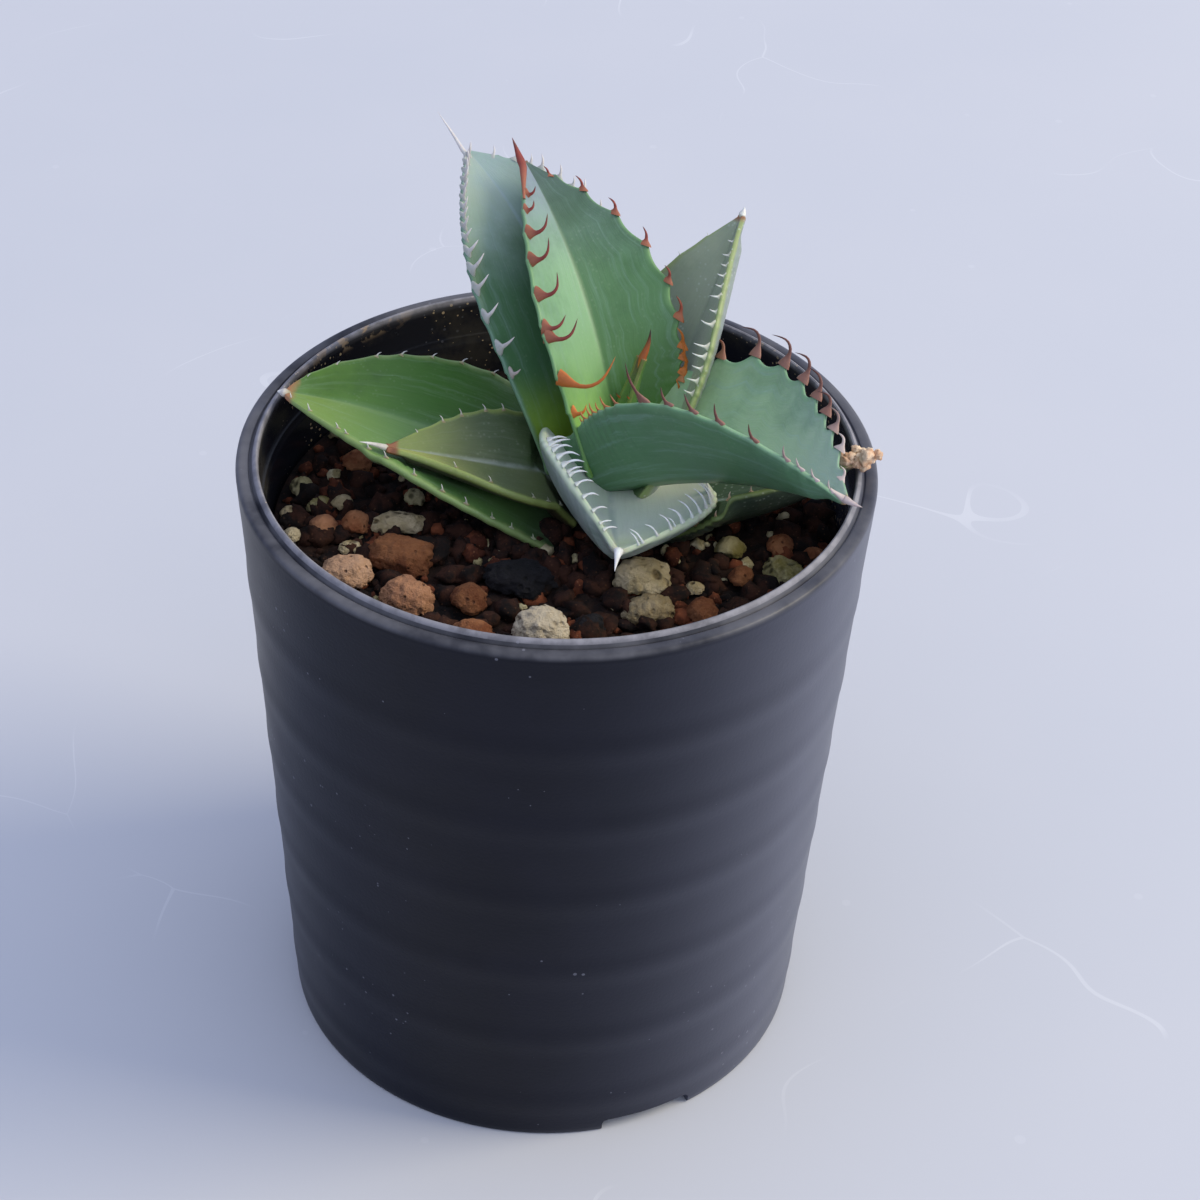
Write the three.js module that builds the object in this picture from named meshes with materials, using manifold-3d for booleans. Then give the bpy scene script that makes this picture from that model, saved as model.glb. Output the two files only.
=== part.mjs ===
// A young Agave titanota growing in gravelly soil in a round black plastic nursery pot.
// Millimetres, +Z up. The origin is the centre of the pot's underside, and the photographed
// side faces -Y.

import * as THREE from 'three';
import { mergeVertices } from 'three/addons/utils/BufferGeometryUtils.js';
import Module from 'manifold-3d';

const wasm = await Module();
wasm.setup();

// Clearance kept between neighbouring solids
const gap = 0.3;

// Pot
const pot = {
  segments: 48,
  height: 81,
  baseRadius: 32.8,
  topRadius: 37.5,
  rimInnerRadius: 34.8,
  rimRounding: 0.3,
  beadHeight: 0.7,
  beadWidth: 0.7,
  grooveDepth: 0.35,
  grooveRadius: 35.9,
  ledgeDepth: 4.5,
  ledgeHeight: 0.9,
  ledgeRadius: 34.1,
  floorInnerRadius: 30.4,
  floorTop: 4.4,
  floorUnderside: 2.2,
  footInnerRadius: 29.4,
  footRounding: 0.5,
  notchCount: 3,
  notchAngle: -64,
  notchWidth: 12,
  notchHeight: 1.9,
  notchCut: 8,
  drainHoleRadius: 3.2,
  drainHoleCircle: 18,
  drainHoleCount: 6,
  drainHoleSegments: 10,
  colour: 0x1b1d26,
};

// Soil: a filling with gravel grains grown into its top
const soil = {
  top: 71,
  mound: 0.8,
  rings: 9,
  segments: 40,
  relief: 1,
  grainTries: 400,
  grains: 46,
  crowding: 0.9,
  grainSmallest: 1.4,
  grainLargest: 2.4,
  seed: 11,
  colour: 0x3b2a20,
};

// Stem: a short crown in a plain hole in the soil
const stem = {
  x: 5.6,
  y: 4.6,
  radius: 3.4,
  bottom: 60,
  footHeight: 4,
  footShare: 0.8,
  top: 79.2,
  topRounding: 2,
  topShare: 0.6,
  segments: 14,
  colour: 0x8d8a4f,
};

// Leaf blades: shares and sizes that shape every leaf
const blade = {
  upperAcross: [-1, -0.5, 0, 0.5, 1],
  lowerAcross: [1, 0, -1],
  footFaces: [[0, 1, 7], [1, 6, 7], [1, 2, 6], [2, 3, 6], [3, 5, 6], [3, 4, 5]],
  midribSteps: 24,
  edgeThickness: 0.75,
  keelAtRoot: 1.25,
  keelLoss: 0.85,
  tipWidth: 0.5,
  tipThickness: 0.8,
  tipTaper: 8,
  scallop: 0.4,
  scallopFade: 4,
  toothFoot: 1.5,
  toothFootShare: 0.32,
  toothShift: 0.2,
  toothSmallest: 0.55,
  toothPeak: 0.43,
  toothVariation: 0.5,
  toothBendAt: 0.42,
  toothNeck: 0.5,
  toothStartLean: 0.3,
  toothEndTurn: 0.35,
  spineNeckAt: 0.35,
  spineNeck: 0.62,
  roomSteps: 9,
};

// Leaves, listed from the heart outwards. root is where the midrib leaves the crown, and foot is
// the share of the length that the leaf reaches on below it. Heading is the compass angle in plan
// and rise the angle above level, each from root to tip. half is the half width, laid flat, widest
// at the share widestAt of the length; footWidth is its share at the root; tipPower and tipRound
// shape the point. fold is the angle of each half above the flat, roll turns the blade about its
// length, and curl bends the margins up. Teeth run along both margins from the first share to the
// last; lean tips them along the leaf, one value a margin, and inward over the face.
const leaves = [
  {
    name: 'leaf_bud', root: [6.7, 5.6, 80.2], foot: 0.1,
    heading: [40, 46], rise: [74, 66], length: 12.4,
    half: 3.4, widestAt: 0.3, footWidth: 0.85, tipPower: 1.8, tipRound: 1.0, roll: [0, 0],
    fold: [58, 64], curl: 30, thickness: 1.6, teeth: 3, teethFrom: 0.35, teethTo: 0.8,
    toothLength: 1.6, lean: [0.2, 0.2], inward: 0.4, spine: 3.2, spineLift: 0.1, seed: 21, colour: 0x5c7a3a,
  },
  {
    name: 'leaf_centre', root: [6.9, 5.8, 79.5], foot: 0.08,
    heading: [118, 125], rise: [68, 27], length: 36,
    half: 10, widestAt: 0.42, footWidth: 0.73, tipPower: 1.77, tipRound: 1.1, roll: [7, 6],
    fold: [27, 22], curl: 15, thickness: 3, teeth: 11, teethFrom: 0.2, teethTo: 0.93,
    toothLength: 2.9, lean: [0.25, 0.25], inward: 0.75, spine: 3.2, spineLift: 0.3,
    seed: 22, colour: 0x4e7d5b,
  },
  {
    name: 'leaf_right', root: [6.2, 4.2, 77.1], foot: 0.06,
    heading: [-31.5, -38], rise: [31, 2], length: 34.3,
    half: 14.1, widestAt: 0.45, footWidth: 0.55, tipPower: 1.82, tipRound: 1.08, roll: [-11, -10],
    fold: [47, 46], curl: 14, thickness: 3, teeth: 11, teethFrom: 0.24, teethTo: 0.93,
    toothLength: 3.1, lean: [-0.25, -0.9], inward: 0.35, spine: 3, spineLift: 0, seed: 23, colour: 0x47755f,
  },
  {
    name: 'leaf_back_left', root: [4.2, 7.3, 77.7], foot: 0.15,
    heading: [123, 128], rise: [73, 11], length: 41,
    half: 10.4, widestAt: 0.45, footWidth: 0.73, tipPower: 1.92, tipRound: 1.04, roll: [-9, -11],
    fold: [18.5, 11], curl: 15, thickness: 3, teeth: 12, teethFrom: 0.2, teethTo: 0.95,
    toothLength: 2.3, lean: [0.1, 0.1], inward: 0.9, spine: 4.6, spineLift: 0.5, seed: 24, colour: 0x4b7363,
  },
  {
    name: 'leaf_front', root: [6.3, 1.9, 75.2], foot: 0.05,
    heading: [-89, -83], rise: [4, 25], length: 19.1,
    half: 12.3, widestAt: 0.31, footWidth: 0.92, tipPower: 2.26, tipRound: 0.8, roll: [-18, -21],
    fold: [30, 40], curl: 19, thickness: 3.4, teeth: 10, teethFrom: 0.18, teethTo: 0.93,
    toothLength: 2.2, lean: [0.2, 0.2], inward: 1.1, spine: 2, spineLift: -0.9, seed: 25, colour: 0x6f8f83,
  },
  {
    name: 'leaf_back_right', root: [8.7, 6.5, 75.9], foot: 0.14,
    heading: [55.5, 56.5], rise: [38, 61], length: 32.6,
    half: 10.4, widestAt: 0.44, footWidth: 0.75, tipPower: 1.84, tipRound: 1.1, roll: [-22, -31],
    fold: [19, 34], curl: 15, thickness: 2.9, teeth: 11, teethFrom: 0.22, teethTo: 0.94,
    toothLength: 1.9, lean: [-0.2, -0.2], inward: 0.8, spine: 1.6, spineLift: 0, seed: 26, colour: 0x6d8470,
  },
  {
    name: 'leaf_left_upper', root: [3.0, 3.4, 75.7], foot: 0.05,
    heading: [183, 184], rise: [9, 11.5], length: 23.7,
    half: 9.3, widestAt: 0.38, footWidth: 0.77, tipPower: 1.72, tipRound: 1.13, roll: [-2, 11],
    fold: [10, 24], curl: 15, thickness: 3, teeth: 8, teethFrom: 0.25, teethTo: 0.9,
    toothLength: 1.2, lean: [0.2, 0.2], inward: 0.5, spine: 3.2, spineLift: 0.1, seed: 27, colour: 0x4f6b3c,
  },
  {
    name: 'leaf_right_lower', root: [8.5, 2.8, 72.6], foot: 0,
    heading: [-10.5, -6], rise: [5, 39], length: 29.6,
    half: 9.5, widestAt: 0.42, footWidth: 0.75, tipPower: 1.8, tipRound: 1.1, roll: [-14.5, -15.5],
    fold: [21.5, 22], curl: 15, thickness: 3.2, teeth: 8, teethFrom: 0.25, teethTo: 0.85,
    toothLength: 1.0, lean: [0.2, 0.2], inward: 0.5, spine: 1.4, spineLift: 0, seed: 28, colour: 0x54703f,
  },
  {
    name: 'leaf_left_lower', root: [2.9, 3.4, 72.5], foot: 0.08,
    heading: [170.5, 176.5], rise: [29, 4.5], length: 37.9,
    half: 11.5, widestAt: 0.38, footWidth: 0.87, tipPower: 1.86, tipRound: 0.78, roll: [-9, -5.5],
    fold: [2, 19], curl: 15, thickness: 3, teeth: 11, teethFrom: 0.25, teethTo: 0.93,
    toothLength: 1.0, lean: [0.2, 0.2], inward: 0.5, spine: 1.6, spineLift: 0.1, seed: 29, colour: 0x5c8a43,
  },
];

// Loose stones lying on the soil: place, size along and across and height, turn in degrees
const stoneColours = { pumice: 0xcfc7a2, clay: 0x9a5c3b, lava: 0x24232a, stained_pumice: 0x8f8f45 };
const stones = [
  { kind: 'stained_pumice', at: [-30.6, 3.9], size: [3.6, 3.9, 3.6], turn: 20 },
  { kind: 'stained_pumice', at: [-28.4, 0.7], size: [4.2, 2.6, 2.8], turn: 40 },
  { kind: 'pumice', at: [-31.6, -0.9], size: [2.9, 2.5, 2.6], turn: 10 },
  { kind: 'pumice', at: [-30.9, -5.2], size: [3.0, 2.6, 2.6], turn: 75 },
  { kind: 'clay', at: [-27.3, -3.7], size: [4.3, 3.9, 3.8], turn: 15 },
  { kind: 'pumice', at: [-25.6, 1.2], size: [3.2, 3.0, 3.0], turn: 60 },
  { kind: 'clay', at: [-23.6, -3.0], size: [4.4, 3.9, 3.8], turn: 80 },
  { kind: 'pumice', at: [-23.8, -7.6], size: [3.4, 2.5, 2.3], turn: 10 },
  { kind: 'pumice', at: [-18.4, -3.0], size: [7.0, 3.9, 3.6], turn: 12 },
  { kind: 'clay', at: [-17.6, -9.6], size: [9.4, 6.6, 5.2], turn: -14 },
  { kind: 'clay', at: [-23.6, -13.2], size: [7.0, 5.6, 5.0], turn: 8 },
  { kind: 'clay', at: [-16.4, -17.6], size: [7.4, 6.2, 5.4], turn: -20 },
  { kind: 'clay', at: [-9.3, -16.9], size: [5.4, 5.2, 4.4], turn: 35 },
  { kind: 'clay', at: [-8.6, -23.4], size: [6.0, 5.0, 4.2], turn: 5 },
  { kind: 'pumice', at: [-0.9, -22.6], size: [7.6, 6.8, 6.2], turn: 15 },
  { kind: 'lava', at: [-3.6, -13.0], size: [9.0, 6.4, 4.6], turn: -6 },
  { kind: 'lava', at: [4.6, -20.4], size: [4.2, 3.8, 3.4], turn: 40 },
  { kind: 'stained_pumice', at: [-17.0, 2.4], size: [3.6, 3.2, 3.0], turn: 20 },
  { kind: 'pumice', at: [10.4, -11.8], size: [8.2, 6.0, 5.0], turn: 10 },
  { kind: 'pumice', at: [11.4, -17.6], size: [7.0, 4.6, 4.2], turn: 18 },
  { kind: 'clay', at: [17.4, -17.2], size: [5.0, 4.6, 4.2], turn: 70 },
  { kind: 'stained_pumice', at: [20.6, -4.8], size: [4.6, 4.0, 3.6], turn: 55 },
  { kind: 'clay', at: [26.6, -3.6], size: [4.2, 3.8, 3.4], turn: 25 },
  { kind: 'clay', at: [21.9, -10.0], size: [4.2, 3.6, 3.4], turn: 50 },
  { kind: 'clay', at: [30.6, -4.6], size: [3.2, 2.8, 2.6], turn: 5 },
  { kind: 'stained_pumice', at: [27.0, -9.2], size: [7.0, 4.8, 4.2], turn: -62 },
  { kind: 'pumice', at: [16.6, -12.6], size: [3.0, 2.6, 2.4], turn: 5 },
  { kind: 'clay', at: [6.9, -25.6], size: [5.0, 4.0, 3.8], turn: 12 },
  { kind: 'clay', at: [13.2, -22.8], size: [4.4, 3.8, 3.4], turn: 30 },
  { kind: 'clay', at: [-24.6, 9.6], size: [4.6, 4.2, 3.6], turn: 15 },
  { kind: 'clay', at: [-17.6, 17.0], size: [5.8, 4.8, 4.4], turn: 40 },
  { kind: 'pumice', at: [-8.6, 24.6], size: [6.2, 5.0, 4.4], turn: 65 },
  { kind: 'clay', at: [0.6, 28.4], size: [5.2, 4.4, 4.0], turn: 10 },
  { kind: 'lava', at: [9.6, 26.0], size: [6.4, 5.0, 4.2], turn: 20 },
  { kind: 'clay', at: [20.6, 21.6], size: [6.0, 5.2, 4.4], turn: -30 },
  { kind: 'pumice', at: [26.4, 12.6], size: [5.4, 4.6, 4.0], turn: 80 },
  { kind: 'clay', at: [22.0, 8.6], size: [4.4, 3.8, 3.4], turn: 15 },
  { kind: 'stained_pumice', at: [-27.4, 16.6], size: [4.4, 3.6, 3.2], turn: 50 },
  { kind: 'pumice', at: [-14.0, 26.8], size: [3.8, 3.4, 3.0], turn: 0 },
  { kind: 'lava', at: [31.0, 4.4], size: [3.6, 3.4, 3.0], turn: 0 },
];
const stoneShape = { sunk: 0.3, fineFrom: 5.4, roughness: 0.24, groundBox: 12, seed: 300 };

// Soil grains: flattened, and sunk by a share of their radius
const grainShape = { size: [1, 0.8, 0.75], sunk: 0.3 };

const degree = Math.PI / 180;

// Seeded random numbers between 0 and 1
function randomFrom(seed) {
  let state = seed >>> 0;
  return () => {
    state = (Math.imul(state, 1664525) + 1013904223) >>> 0;
    return state / 4294967296;
  };
}

// A closed indexed geometry from points and triangles
function geometryFrom(points, triangles) {
  const geometry = new THREE.BufferGeometry();
  geometry.setAttribute('position', new THREE.Float32BufferAttribute(points.flat(), 3));
  geometry.setIndex(triangles.flat());
  return geometry;
}

// A closed geometry as a solid: shared points merged, collapsed triangles dropped, faces out
function solidFrom(geometry) {
  const bare = geometry.clone();
  bare.deleteAttribute('normal');
  bare.deleteAttribute('uv');
  const merged = mergeVertices(bare, 1e-4);
  const index = merged.getIndex().array;
  const kept = [];
  for (let i = 0; i < index.length; i += 3) {
    const [a, b, c] = [index[i], index[i + 1], index[i + 2]];
    if (a !== b && b !== c && c !== a) kept.push(a, b, c);
  }
  const vertProperties = new Float32Array(merged.getAttribute('position').array);
  const build = (triVerts) => new wasm.Manifold(new wasm.Mesh({ numProp: 3, vertProperties, triVerts }));
  const solid = build(new Uint32Array(kept));
  if (solid.volume() > 0) return solid;
  for (let i = 0; i < kept.length; i += 3) [kept[i], kept[i + 1]] = [kept[i + 1], kept[i]];
  return build(new Uint32Array(kept));
}

// The largest connected piece of a solid
function largestPiece(solid) {
  const pieces = solid.decompose();
  return pieces.reduce((best, piece) => (piece.volume() > best.volume() ? piece : best));
}

// A solid as a geometry for display and export
function geometryOf(solid) {
  const mesh = solid.getMesh();
  const geometry = new THREE.BufferGeometry();
  geometry.setAttribute('position', new THREE.BufferAttribute(new Float32Array(mesh.vertProperties), 3));
  geometry.setIndex(new THREE.BufferAttribute(new Uint32Array(mesh.triVerts), 1));
  geometry.computeVertexNormals();
  return geometry;
}

function namedMesh(name, solid, colour, roughness) {
  const material = new THREE.MeshStandardMaterial({ color: colour, roughness, metalness: 0 });
  const mesh = new THREE.Mesh(geometryOf(solid), material);
  mesh.name = name;
  return mesh;
}

// A turned solid: profile points are [radius, height] pairs that start and end on the axis
function turned(profile, segments) {
  const points = profile.map(([radius, height]) => new THREE.Vector2(radius, height));
  return solidFrom(new THREE.LatheGeometry(points, segments).rotateX(Math.PI / 2));
}

function potWallRadius(height) {
  return pot.floorInnerRadius
    + (pot.ledgeRadius - pot.floorInnerRadius)
    * (height - pot.floorTop) / (pot.height - pot.ledgeDepth - pot.ledgeHeight - pot.floorTop);
}

function makePot() {
  const ledgeTop = pot.height - pot.ledgeDepth;
  const ledgeBottom = ledgeTop - pot.ledgeHeight;
  const beadTop = pot.height + pot.beadHeight;
  const body = turned([
    [0, pot.floorUnderside],
    [pot.footInnerRadius - pot.rimRounding, pot.floorUnderside],
    [pot.footInnerRadius, 0],
    [pot.baseRadius - pot.footRounding, 0],
    [pot.baseRadius, pot.footRounding],
    [pot.topRadius, pot.height - pot.rimRounding],
    [pot.topRadius - pot.rimRounding, pot.height],
    [pot.grooveRadius + pot.rimRounding, pot.height],
    [pot.grooveRadius, pot.height - pot.grooveDepth],
    [pot.grooveRadius - pot.rimRounding, pot.height],
    [pot.rimInnerRadius + pot.beadWidth / 2, beadTop],
    [pot.rimInnerRadius, beadTop - pot.rimRounding],
    [pot.rimInnerRadius, ledgeTop],
    [pot.ledgeRadius, ledgeBottom],
    [pot.floorInnerRadius, pot.floorTop],
    [0, pot.floorTop],
  ], pot.segments);
  let solid = body;
  for (let i = 0; i < pot.notchCount; i += 1) {
    const angle = (pot.notchAngle + i * 360 / pot.notchCount) * degree;
    const notch = new THREE.BoxGeometry(pot.notchCut, pot.notchWidth, pot.notchHeight * 2);
    notch.translate(pot.baseRadius, 0, 0).rotateZ(angle);
    solid = solid.subtract(solidFrom(notch));
  }
  for (let i = 0; i < pot.drainHoleCount; i += 1) {
    const angle = i * 360 / pot.drainHoleCount * degree;
    const { drainHoleRadius: radius, drainHoleSegments: segments } = pot;
    const hole = new THREE.CylinderGeometry(radius, radius, pot.floorTop * 2, segments);
    hole.rotateX(Math.PI / 2).translate(pot.drainHoleCircle, 0, pot.floorTop).rotateZ(angle);
    solid = solid.subtract(solidFrom(hole));
  }
  return solid;
}

// The point, direction and cross directions of a leaf's midrib at a share of its length
function leafFrameAt(leaf, share) {
  const point = new THREE.Vector3(...leaf.root);
  const directionAt = (s) => {
    const heading = THREE.MathUtils.lerp(leaf.heading[0], leaf.heading[1], s) * degree;
    const rise = THREE.MathUtils.lerp(leaf.rise[0], leaf.rise[1], s) * degree;
    return new THREE.Vector3(
      Math.cos(rise) * Math.cos(heading),
      Math.cos(rise) * Math.sin(heading),
      Math.sin(rise),
    );
  };
  const step = share / blade.midribSteps;
  for (let i = 0; i < blade.midribSteps; i += 1) {
    point.addScaledVector(directionAt((i + 0.5) * step), step * leaf.length);
  }
  const along = directionAt(share);
  const heading = THREE.MathUtils.lerp(leaf.heading[0], leaf.heading[1], share) * degree;
  const roll = THREE.MathUtils.lerp(leaf.roll[0], leaf.roll[1], share) * degree;
  const level = new THREE.Vector3(-Math.sin(heading), Math.cos(heading), 0);
  const upright = new THREE.Vector3().crossVectors(along, level);
  const across = level.clone().multiplyScalar(Math.cos(roll)).addScaledVector(upright, Math.sin(roll));
  const face = upright.clone().multiplyScalar(Math.cos(roll)).addScaledVector(level, -Math.sin(roll));
  return { point, along, across, face };
}

// Half width of a leaf, laid flat, as a share of its widest
function widthShare(leaf, share) {
  if (share < leaf.widestAt) {
    return leaf.footWidth + (1 - leaf.footWidth) * Math.sin(Math.PI / 2 * share / leaf.widestAt);
  }
  const toTip = Math.min(1, (share - leaf.widestAt) / (1 - leaf.widestAt));
  return (1 - toTip ** leaf.tipPower) ** leaf.tipRound;
}

// A point on the leaf's upper face and the face's normal and outward direction there;
// side runs from -1 to 1 across the blade
function leafFaceAt(leaf, frame, share, side, halfWidth) {
  const fold = THREE.MathUtils.lerp(leaf.fold[0], leaf.fold[1], share);
  const reach = Math.abs(side);
  const sign = Math.sign(side);
  const lineAngle = (fold + leaf.curl * (reach / 2 - 0.5)) * degree;
  const localAngle = (fold + leaf.curl * (reach - 0.5)) * degree;
  const point = frame.point.clone()
    .addScaledVector(frame.across, sign * reach * halfWidth * Math.cos(lineAngle))
    .addScaledVector(frame.face, reach * halfWidth * Math.sin(lineAngle));
  const outward = frame.across.clone().multiplyScalar(sign * Math.cos(localAngle))
    .addScaledVector(frame.face, Math.sin(localAngle));
  const normal = frame.face.clone().multiplyScalar(Math.cos(localAngle))
    .addScaledVector(frame.across, -sign * Math.sin(localAngle));
  if (sign === 0) normal.copy(frame.face);
  return { point, outward, normal };
}

function bladeThickness(leaf, share, side) {
  const taper = Math.min(1, (1 - share) * blade.tipTaper);
  const keel = leaf.thickness * (blade.keelAtRoot - blade.keelLoss * share) * taper;
  const thickness = blade.edgeThickness + (keel - blade.edgeThickness) * (1 - side * side);
  return Math.max(blade.tipThickness, thickness);
}

// Stations along a leaf: foot, then two for the foot of each pair of teeth with a dip of the
// margin between pairs, then the tip
function leafStations(leaf) {
  const random = randomFrom(leaf.seed);
  const pitch = (leaf.teethTo - leaf.teethFrom) / (leaf.teeth - 1);
  const halfFoot = Math.min(pitch * blade.toothFootShare, blade.toothFoot / 2 / leaf.length);
  const stations = [{ share: -leaf.foot, wave: 0 }, { share: leaf.teethFrom - pitch / 2, wave: 0 }];
  for (let i = 0; i < leaf.teeth; i += 1) {
    const share = leaf.teethFrom + (i + (random() - 0.5) * blade.toothShift) * pitch;
    const swell = Math.sin(Math.PI / 2 * Math.min(2, share / blade.toothPeak));
    const size = THREE.MathUtils.lerp(blade.toothSmallest, 1, swell);
    const vary = () => 1 + (random() - 0.5) * blade.toothVariation;
    const lengths = [leaf.toothLength * size * vary(), leaf.toothLength * size * vary()];
    stations.push({ share: share - halfFoot, wave: 1, teeth: lengths });
    stations.push({ share: share + halfFoot, wave: 1 });
    const dip = Math.min(leaf.teethFrom + (i + 0.5) * pitch, (share + halfFoot + 1) / 2);
    stations.push({ share: dip, wave: -1 });
  }
  stations.push({ share: 1, wave: 0 });
  return stations;
}

// Half width with the scallops of the margin, which fade where the leaf is narrow
function scallopedHalf(leaf, station) {
  const plain = leaf.half * widthShare(leaf, station.share);
  const fade = Math.min(1, plain / blade.scallopFade);
  return Math.max(blade.tipWidth, plain + station.wave * blade.scallop * fade);
}

// The closed outline of a leaf's section: over the upper face, then back under the keel
function leafSection(leaf, station, grow) {
  const frame = leafFrameAt(leaf, station.share);
  const halfWidth = scallopedHalf(leaf, station) + grow;
  const pointAt = (side, below) => {
    const face = leafFaceAt(leaf, frame, station.share, side, halfWidth);
    const depth = below ? -bladeThickness(leaf, station.share, side) - grow : grow;
    return face.point.addScaledVector(face.normal, depth);
  };
  return [
    ...blade.upperAcross.map((side) => pointAt(side, false)),
    ...blade.lowerAcross.map((side) => pointAt(side, true)),
  ];
}

function middleOf(points) {
  return points.reduce((sum, point) => sum.add(point), new THREE.Vector3()).divideScalar(points.length);
}

// Points drawn in towards their middle and moved to another place
function shrunkTo(points, place, share) {
  const middle = middleOf(points);
  return points.map((point) => point.clone().sub(middle).multiplyScalar(share).add(place));
}

// A hooked tooth on the foot that four margin points make: its middle ring and its tip
function toothPoints(leaf, share, side, foot, length, grow) {
  const frame = leafFrameAt(leaf, share);
  const edge = leafFaceAt(leaf, frame, share, side, leaf.half * widthShare(leaf, share));
  const lean = leaf.lean[side > 0 ? 1 : 0];
  const start = edge.outward.clone().addScaledVector(frame.along, lean * blade.toothStartLean).normalize();
  const end = edge.outward.clone().multiplyScalar(1 - blade.toothEndTurn * leaf.inward)
    .addScaledVector(frame.along, lean)
    .addScaledVector(edge.normal, leaf.inward)
    .normalize();
  const bend = middleOf(foot).addScaledVector(start, length * blade.toothBendAt);
  const tip = bend.clone().addScaledVector(end, length * (1 - blade.toothBendAt) + grow);
  return [...shrunkTo(foot, bend, blade.toothNeck), tip];
}

// A leaf in one skin: sections from foot to tip, teeth where a station has them, and a spine.
// grow pushes the skin out all round.
function skinLeaf(leaf, stations, grow) {
  const sections = stations.map((station) => leafSection(leaf, station, grow));
  const count = sections[0].length;
  const margins = { [blade.upperAcross.length - 1]: 1, [count - 1]: -1 };
  const points = sections.flat();
  const triangles = [];
  const band = (a, b, c, d) => triangles.push([a, b, c], [a, c, d]);

  sections.slice(1).forEach((section, r) => {
    const low = r * count;
    const high = low + count;
    for (let k = 0; k < count; k += 1) {
      const next = (k + 1) % count;
      const side = margins[k];
      const foot = [low + k, low + next, high + next, high + k];
      if (side && stations[r].teeth) {
        const length = stations[r].teeth[side > 0 ? 1 : 0];
        const share = (stations[r].share + stations[r + 1].share) / 2;
        const first = points.length;
        points.push(...toothPoints(leaf, share, side, foot.map((i) => points[i]), length, grow));
        foot.forEach((corner, i) => {
          const following = (i + 1) % foot.length;
          band(corner, foot[following], first + following, first + i);
          triangles.push([first + i, first + following, first + foot.length]);
        });
      } else {
        band(...foot);
      }
    }
  });

  blade.footFaces.forEach(([a, b, c]) => triangles.push([a, c, b]));

  const end = leafFrameAt(leaf, 1);
  const last = (sections.length - 1) * count;
  const tipSection = sections[sections.length - 1];
  const direction = end.along.clone().addScaledVector(end.face, leaf.spineLift).normalize();
  const neckPlace = middleOf(tipSection).addScaledVector(direction, leaf.spine * blade.spineNeckAt);
  const neck = points.length;
  points.push(...shrunkTo(tipSection, neckPlace, blade.spineNeck));
  points.push(middleOf(tipSection).addScaledVector(direction, leaf.spine + grow));
  for (let k = 0; k < count; k += 1) {
    const next = (k + 1) % count;
    band(last + k, last + next, neck + next, neck + k);
    triangles.push([neck + k, neck + next, neck + count]);
  }
  return solidFrom(geometryFrom(points.map((point) => point.toArray()), triangles));
}

function makeLeaf(leaf, grow) {
  return skinLeaf(leaf, leafStations(leaf), grow);
}

// The room a leaf takes with its clearance, without teeth or scallops
function makeLeafRoom(leaf) {
  const stations = [{ share: -leaf.foot - gap / leaf.length, wave: 1 }];
  for (let i = 1; i <= blade.roomSteps; i += 1) stations.push({ share: i / blade.roomSteps, wave: 1 });
  return skinLeaf(leaf, stations, gap);
}

function makeStem(grow) {
  const { radius, bottom, top } = stem;
  return turned([
    [0, bottom - grow],
    [radius * stem.footShare + grow, bottom - grow],
    [radius + grow, bottom + stem.footHeight],
    [radius + grow, top - stem.topRounding],
    [radius * stem.topShare + grow, top + grow],
    [0, top + grow],
  ], stem.segments).translate([stem.x, stem.y, 0]);
}

// Height of the soil's top: slightly mounded round its middle
function soilTopAt(x, y) {
  const distance = Math.hypot(x, y) / potWallRadius(soil.top);
  return soil.top + soil.mound * Math.max(0, 1 - distance * distance);
}

// Where a stone's middle lies, kept clear of the pot's wall
function stonePlace(stone) {
  const [long, wide, high] = stone.size;
  const distance = Math.hypot(...stone.at);
  const farthest = potWallRadius(soil.top) - gap - Math.max(long, wide) / 2;
  const [x, y] = stone.at.map((value) => value * Math.min(1, farthest / distance));
  return [x, y, soilTopAt(x, y) + high * (0.5 - stoneShape.sunk)];
}

// A rough stone: a faceted ball pushed in at its corners, drawn to size, with a flat spot below
function makeStone(stone, order) {
  const random = randomFrom(stoneShape.seed + order);
  const rough = new THREE.IcosahedronGeometry(1, stone.size[0] > stoneShape.fineFrom ? 1 : 0);
  rough.deleteAttribute('normal').deleteAttribute('uv');
  const ball = mergeVertices(rough, 1e-4);
  const position = ball.getAttribute('position');
  const corner = new THREE.Vector3();
  for (let i = 0; i < position.count; i += 1) {
    corner.fromBufferAttribute(position, i).multiplyScalar(1 - stoneShape.roughness * random());
    position.setXYZ(i, corner.x, corner.y, corner.z);
  }
  const place = stonePlace(stone);
  ball.scale(...stone.size.map((size) => size / 2)).rotateZ(stone.turn * degree).translate(...place);
  const box = stoneShape.groundBox;
  const ground = new THREE.BoxGeometry(box, box, box);
  ground.translate(place[0], place[1], soilTopAt(place[0], place[1]) + gap - box / 2);
  return solidFrom(ball).subtract(solidFrom(ground));
}

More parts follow.
